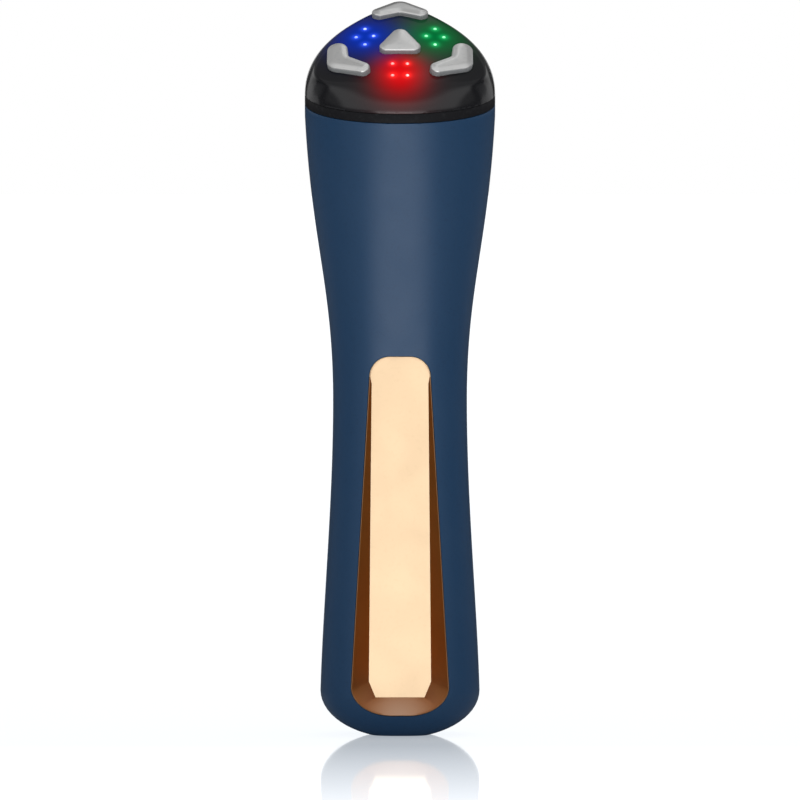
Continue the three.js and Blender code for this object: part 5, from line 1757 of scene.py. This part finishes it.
@dataclass
class Studio:
    """Pale floor, soft lights and the camera at the photograph's angle."""

    middle: float = 0.08205
    field_width: float = 0.1959  # what the photograph's width covers at the wand
    elevation: float = math.radians(3)
    distance: float = 6.0
    sensor: float = 36.0
    ambience: tuple[float, float, float] = (182, 183, 186)
    floor_half: float = 3.0
    floor_fade: tuple[float, ...] = (-0.04, -0.29, 0.385, 0.945)  # from and to along y, and its brightness
    floor_tint: tuple[float, float, float] = (0.0, 0.03, 0.06)
    mirror_fade: Point = (-0.019, -0.04)  # along y, where the floor starts to show in the gloss
    table: Colour = (0.3, 0.3, 0.3, 1.0)
    table_gloss: Point = (0.05, 0.06)  # roughness and specular level
    mirror_tint: Colour = (1.0, 0.96, 0.92, 1.0)
    low: Surround = Surround(1.94, ((0.3, 0.5, -1.92), (2.9, 3.0, 1.04)))
    high: Surround = Surround(0.8, ((0.98, 1.2, -0.6), (1.4, 1.7, 0.3), (2.3, 2.75, -0.42)))
    upper: Surround = Surround(0.4, ((-0.03, 0.07, 0.72), (0.12, 0.2, -0.74)))
    widening: Point = (3.0, 1.1)  # power and size of the turn added to a heading that rises
    high_from: Point = (0.02, 0.2)  # rise of the heading over which high takes the place of low
    upper_from: Point = (0.6, 0.8)  # and over which upper takes the place of high
    upper_behind: Point = (-0.12, 0.08)  # how far back the heading has to point for that

    def build(self) -> None:
        """Sets up the whole studio."""
        self._floor()
        self._world()
        self._lights()
        self._camera()

    def _floor(self) -> None:
        """Glossy pale table top that reaches past the view."""
        signs = ((-1, -1), (1, -1), (1, 1), (-1, 1))
        corners = flat_ring(((x * self.floor_half, y * self.floor_half) for x, y in signs), 0)
        floor = new_piece("studio_floor", corners, [[0, 1, 2, 3]])
        made = bpy.data.materials.new("pale_table")
        made.use_nodes = True
        patch, shader = opened(made)
        x, y, _ = patch.fed("ShaderNodeSeparateXYZ", [patch.place()]).outputs
        glow = patch.fed("ShaderNodeMapRange", (y, *self.floor_fade)).outputs[0]
        shown = patch.vector("MULTIPLY_ADD", glow, (1.0, 1.0, 1.0), self.floor_tint).outputs[0]
        mirrored = patch.math("MULTIPLY", patch.ramp(y, *self.mirror_fade),
                              self.low.level(patch, self._turn(patch, x, y)))
        path = patch.node("ShaderNodeLightPath").outputs
        patch.fill(shader, {
            "Base Color": self.table, "Roughness": self.table_gloss[0],
            "Specular IOR Level": self.table_gloss[1], "Specular Tint": self.mirror_tint,
            "Emission Strength": 1.0,
            "Emission Color": patch.mix(path["Is Glossy Ray"], shown, mirrored),
        })
        dress(floor, made)

    def _world(self) -> None:
        """White surroundings to the camera, softer ones to the wand."""
        world = bpy.data.worlds.new("studio")
        bpy.context.scene.world = world
        world.use_nodes = True
        patch = Patch(world.node_tree)
        back = world.node_tree.nodes["Background"]
        path = patch.node("ShaderNodeLightPath").outputs
        heading = patch.node("ShaderNodeTexCoord").outputs["Generated"]
        x, y, z = patch.fed("ShaderNodeSeparateXYZ", [heading]).outputs
        turn = self._turn(patch, x, y)
        power, most = self.widening
        wider = patch.math("MULTIPLY", patch.math("POWER", patch.math("MAXIMUM", z, 0.0), power), most)
        high = self.high.level(patch, patch.math("SUBTRACT", turn, wider))
        low = self.low.level(patch, turn)
        level = self._between(patch, patch.ramp(z, *self.high_from), low, high)
        above = patch.math("MULTIPLY", patch.ramp(z, *self.upper_from), patch.ramp(y, *self.upper_behind))
        level = self._between(patch, above, level, self.upper.level(patch, x))
        lit = patch.mix(path["Is Glossy Ray"], rgba(*self.ambience), patch.scaled((1, 1, 1), level))
        patch.fill(back, {"Color": patch.mix(path["Is Camera Ray"], lit, WHITE), "Strength": 1.0})

    @staticmethod
    def _turn(patch: Patch, x: Socket, y: Socket) -> Socket:
        """Turn away from the front, to either side, in radians."""
        return patch.math("ABSOLUTE", patch.math("ARCTAN2", x, patch.math("MULTIPLY", y, -1.0)))

    @staticmethod
    def _between(patch: Patch, share: object, first: object, second: object) -> Socket:
        """Number that lies at one share of the way from the first to the second."""
        return patch.math("MULTIPLY_ADD", share, patch.math("SUBTRACT", second, first), first)

    def _lights(self) -> None:
        """Hangs the softboxes."""
        target = Vector((0, 0, self.middle))
        for lamp in (
            Softbox("front", 0, 8, 1.2, 0.4, 0.8, 3.0),
            Softbox("left", -70, 15, 1.2, 0.3, 0.9, 0.6),
            Softbox("right", 70, 15, 1.2, 0.3, 0.9, 0.6),
            Softbox("top", 120, 72, 1.2, 0.9, 0.9, 3.4),
            Softbox("left_rim", -130, 9, 1.2, 1.0, 0.5, 0.6, mirrored=True, lit=("smoked_head_cap",)),
            Softbox("right_rim", 130, 9, 1.2, 1.0, 0.5, 0.6, mirrored=True, lit=("smoked_head_cap",)),
        ):
            lamp.build(target)

    def _camera(self) -> None:
        """Long lens, a little above the wand's middle."""
        data = bpy.data.cameras.new("camera")
        data.sensor_width = self.sensor
        data.lens = self.sensor * self.distance / self.field_width
        camera = bpy.data.objects.new("camera", data)
        away = Vector((0, -math.cos(self.elevation), math.sin(self.elevation)))
        camera.location = Vector((0, 0, self.middle)) + away * self.distance
        camera.rotation_euler = away.to_track_quat("Z", "Y").to_euler()
        bpy.context.scene.collection.objects.link(camera)
        bpy.context.scene.camera = camera


def main() -> None:
    """Builds the studio and every piece of the wand, and writes how big they came out."""
    logging.basicConfig(level=logging.INFO, format="%(name)s %(message)s")
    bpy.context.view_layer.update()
    bpy.context.scene.view_settings.view_transform = "Standard"
    handle = Handle()
    head = Head(handle)
    lights = Lights(head)
    palette = Palette(Effects(), lights)
    grip = GripElectrode(Tray(handle))
    power = PushButton("power", Body.POWER, 0.122, 0.0055, handle)
    mode = PushButton("mode", Body.MODE, 0.104, 0.0043, handle)
    window = LevelWindow(handle)
    port = ChargingPort(handle)
    openings = [piece.opening() for piece in (power, mode, window, port)]
    electrodes = Electrodes(head)
    for assembly in (Shells(handle, grip, openings), grip, HeadCap(head, electrodes, lights), electrodes,
                     lights, power, mode, window, port, InnerParts()):
        assembly.build(palette)
    Studio().build()


if __name__ == "__main__":
    main()
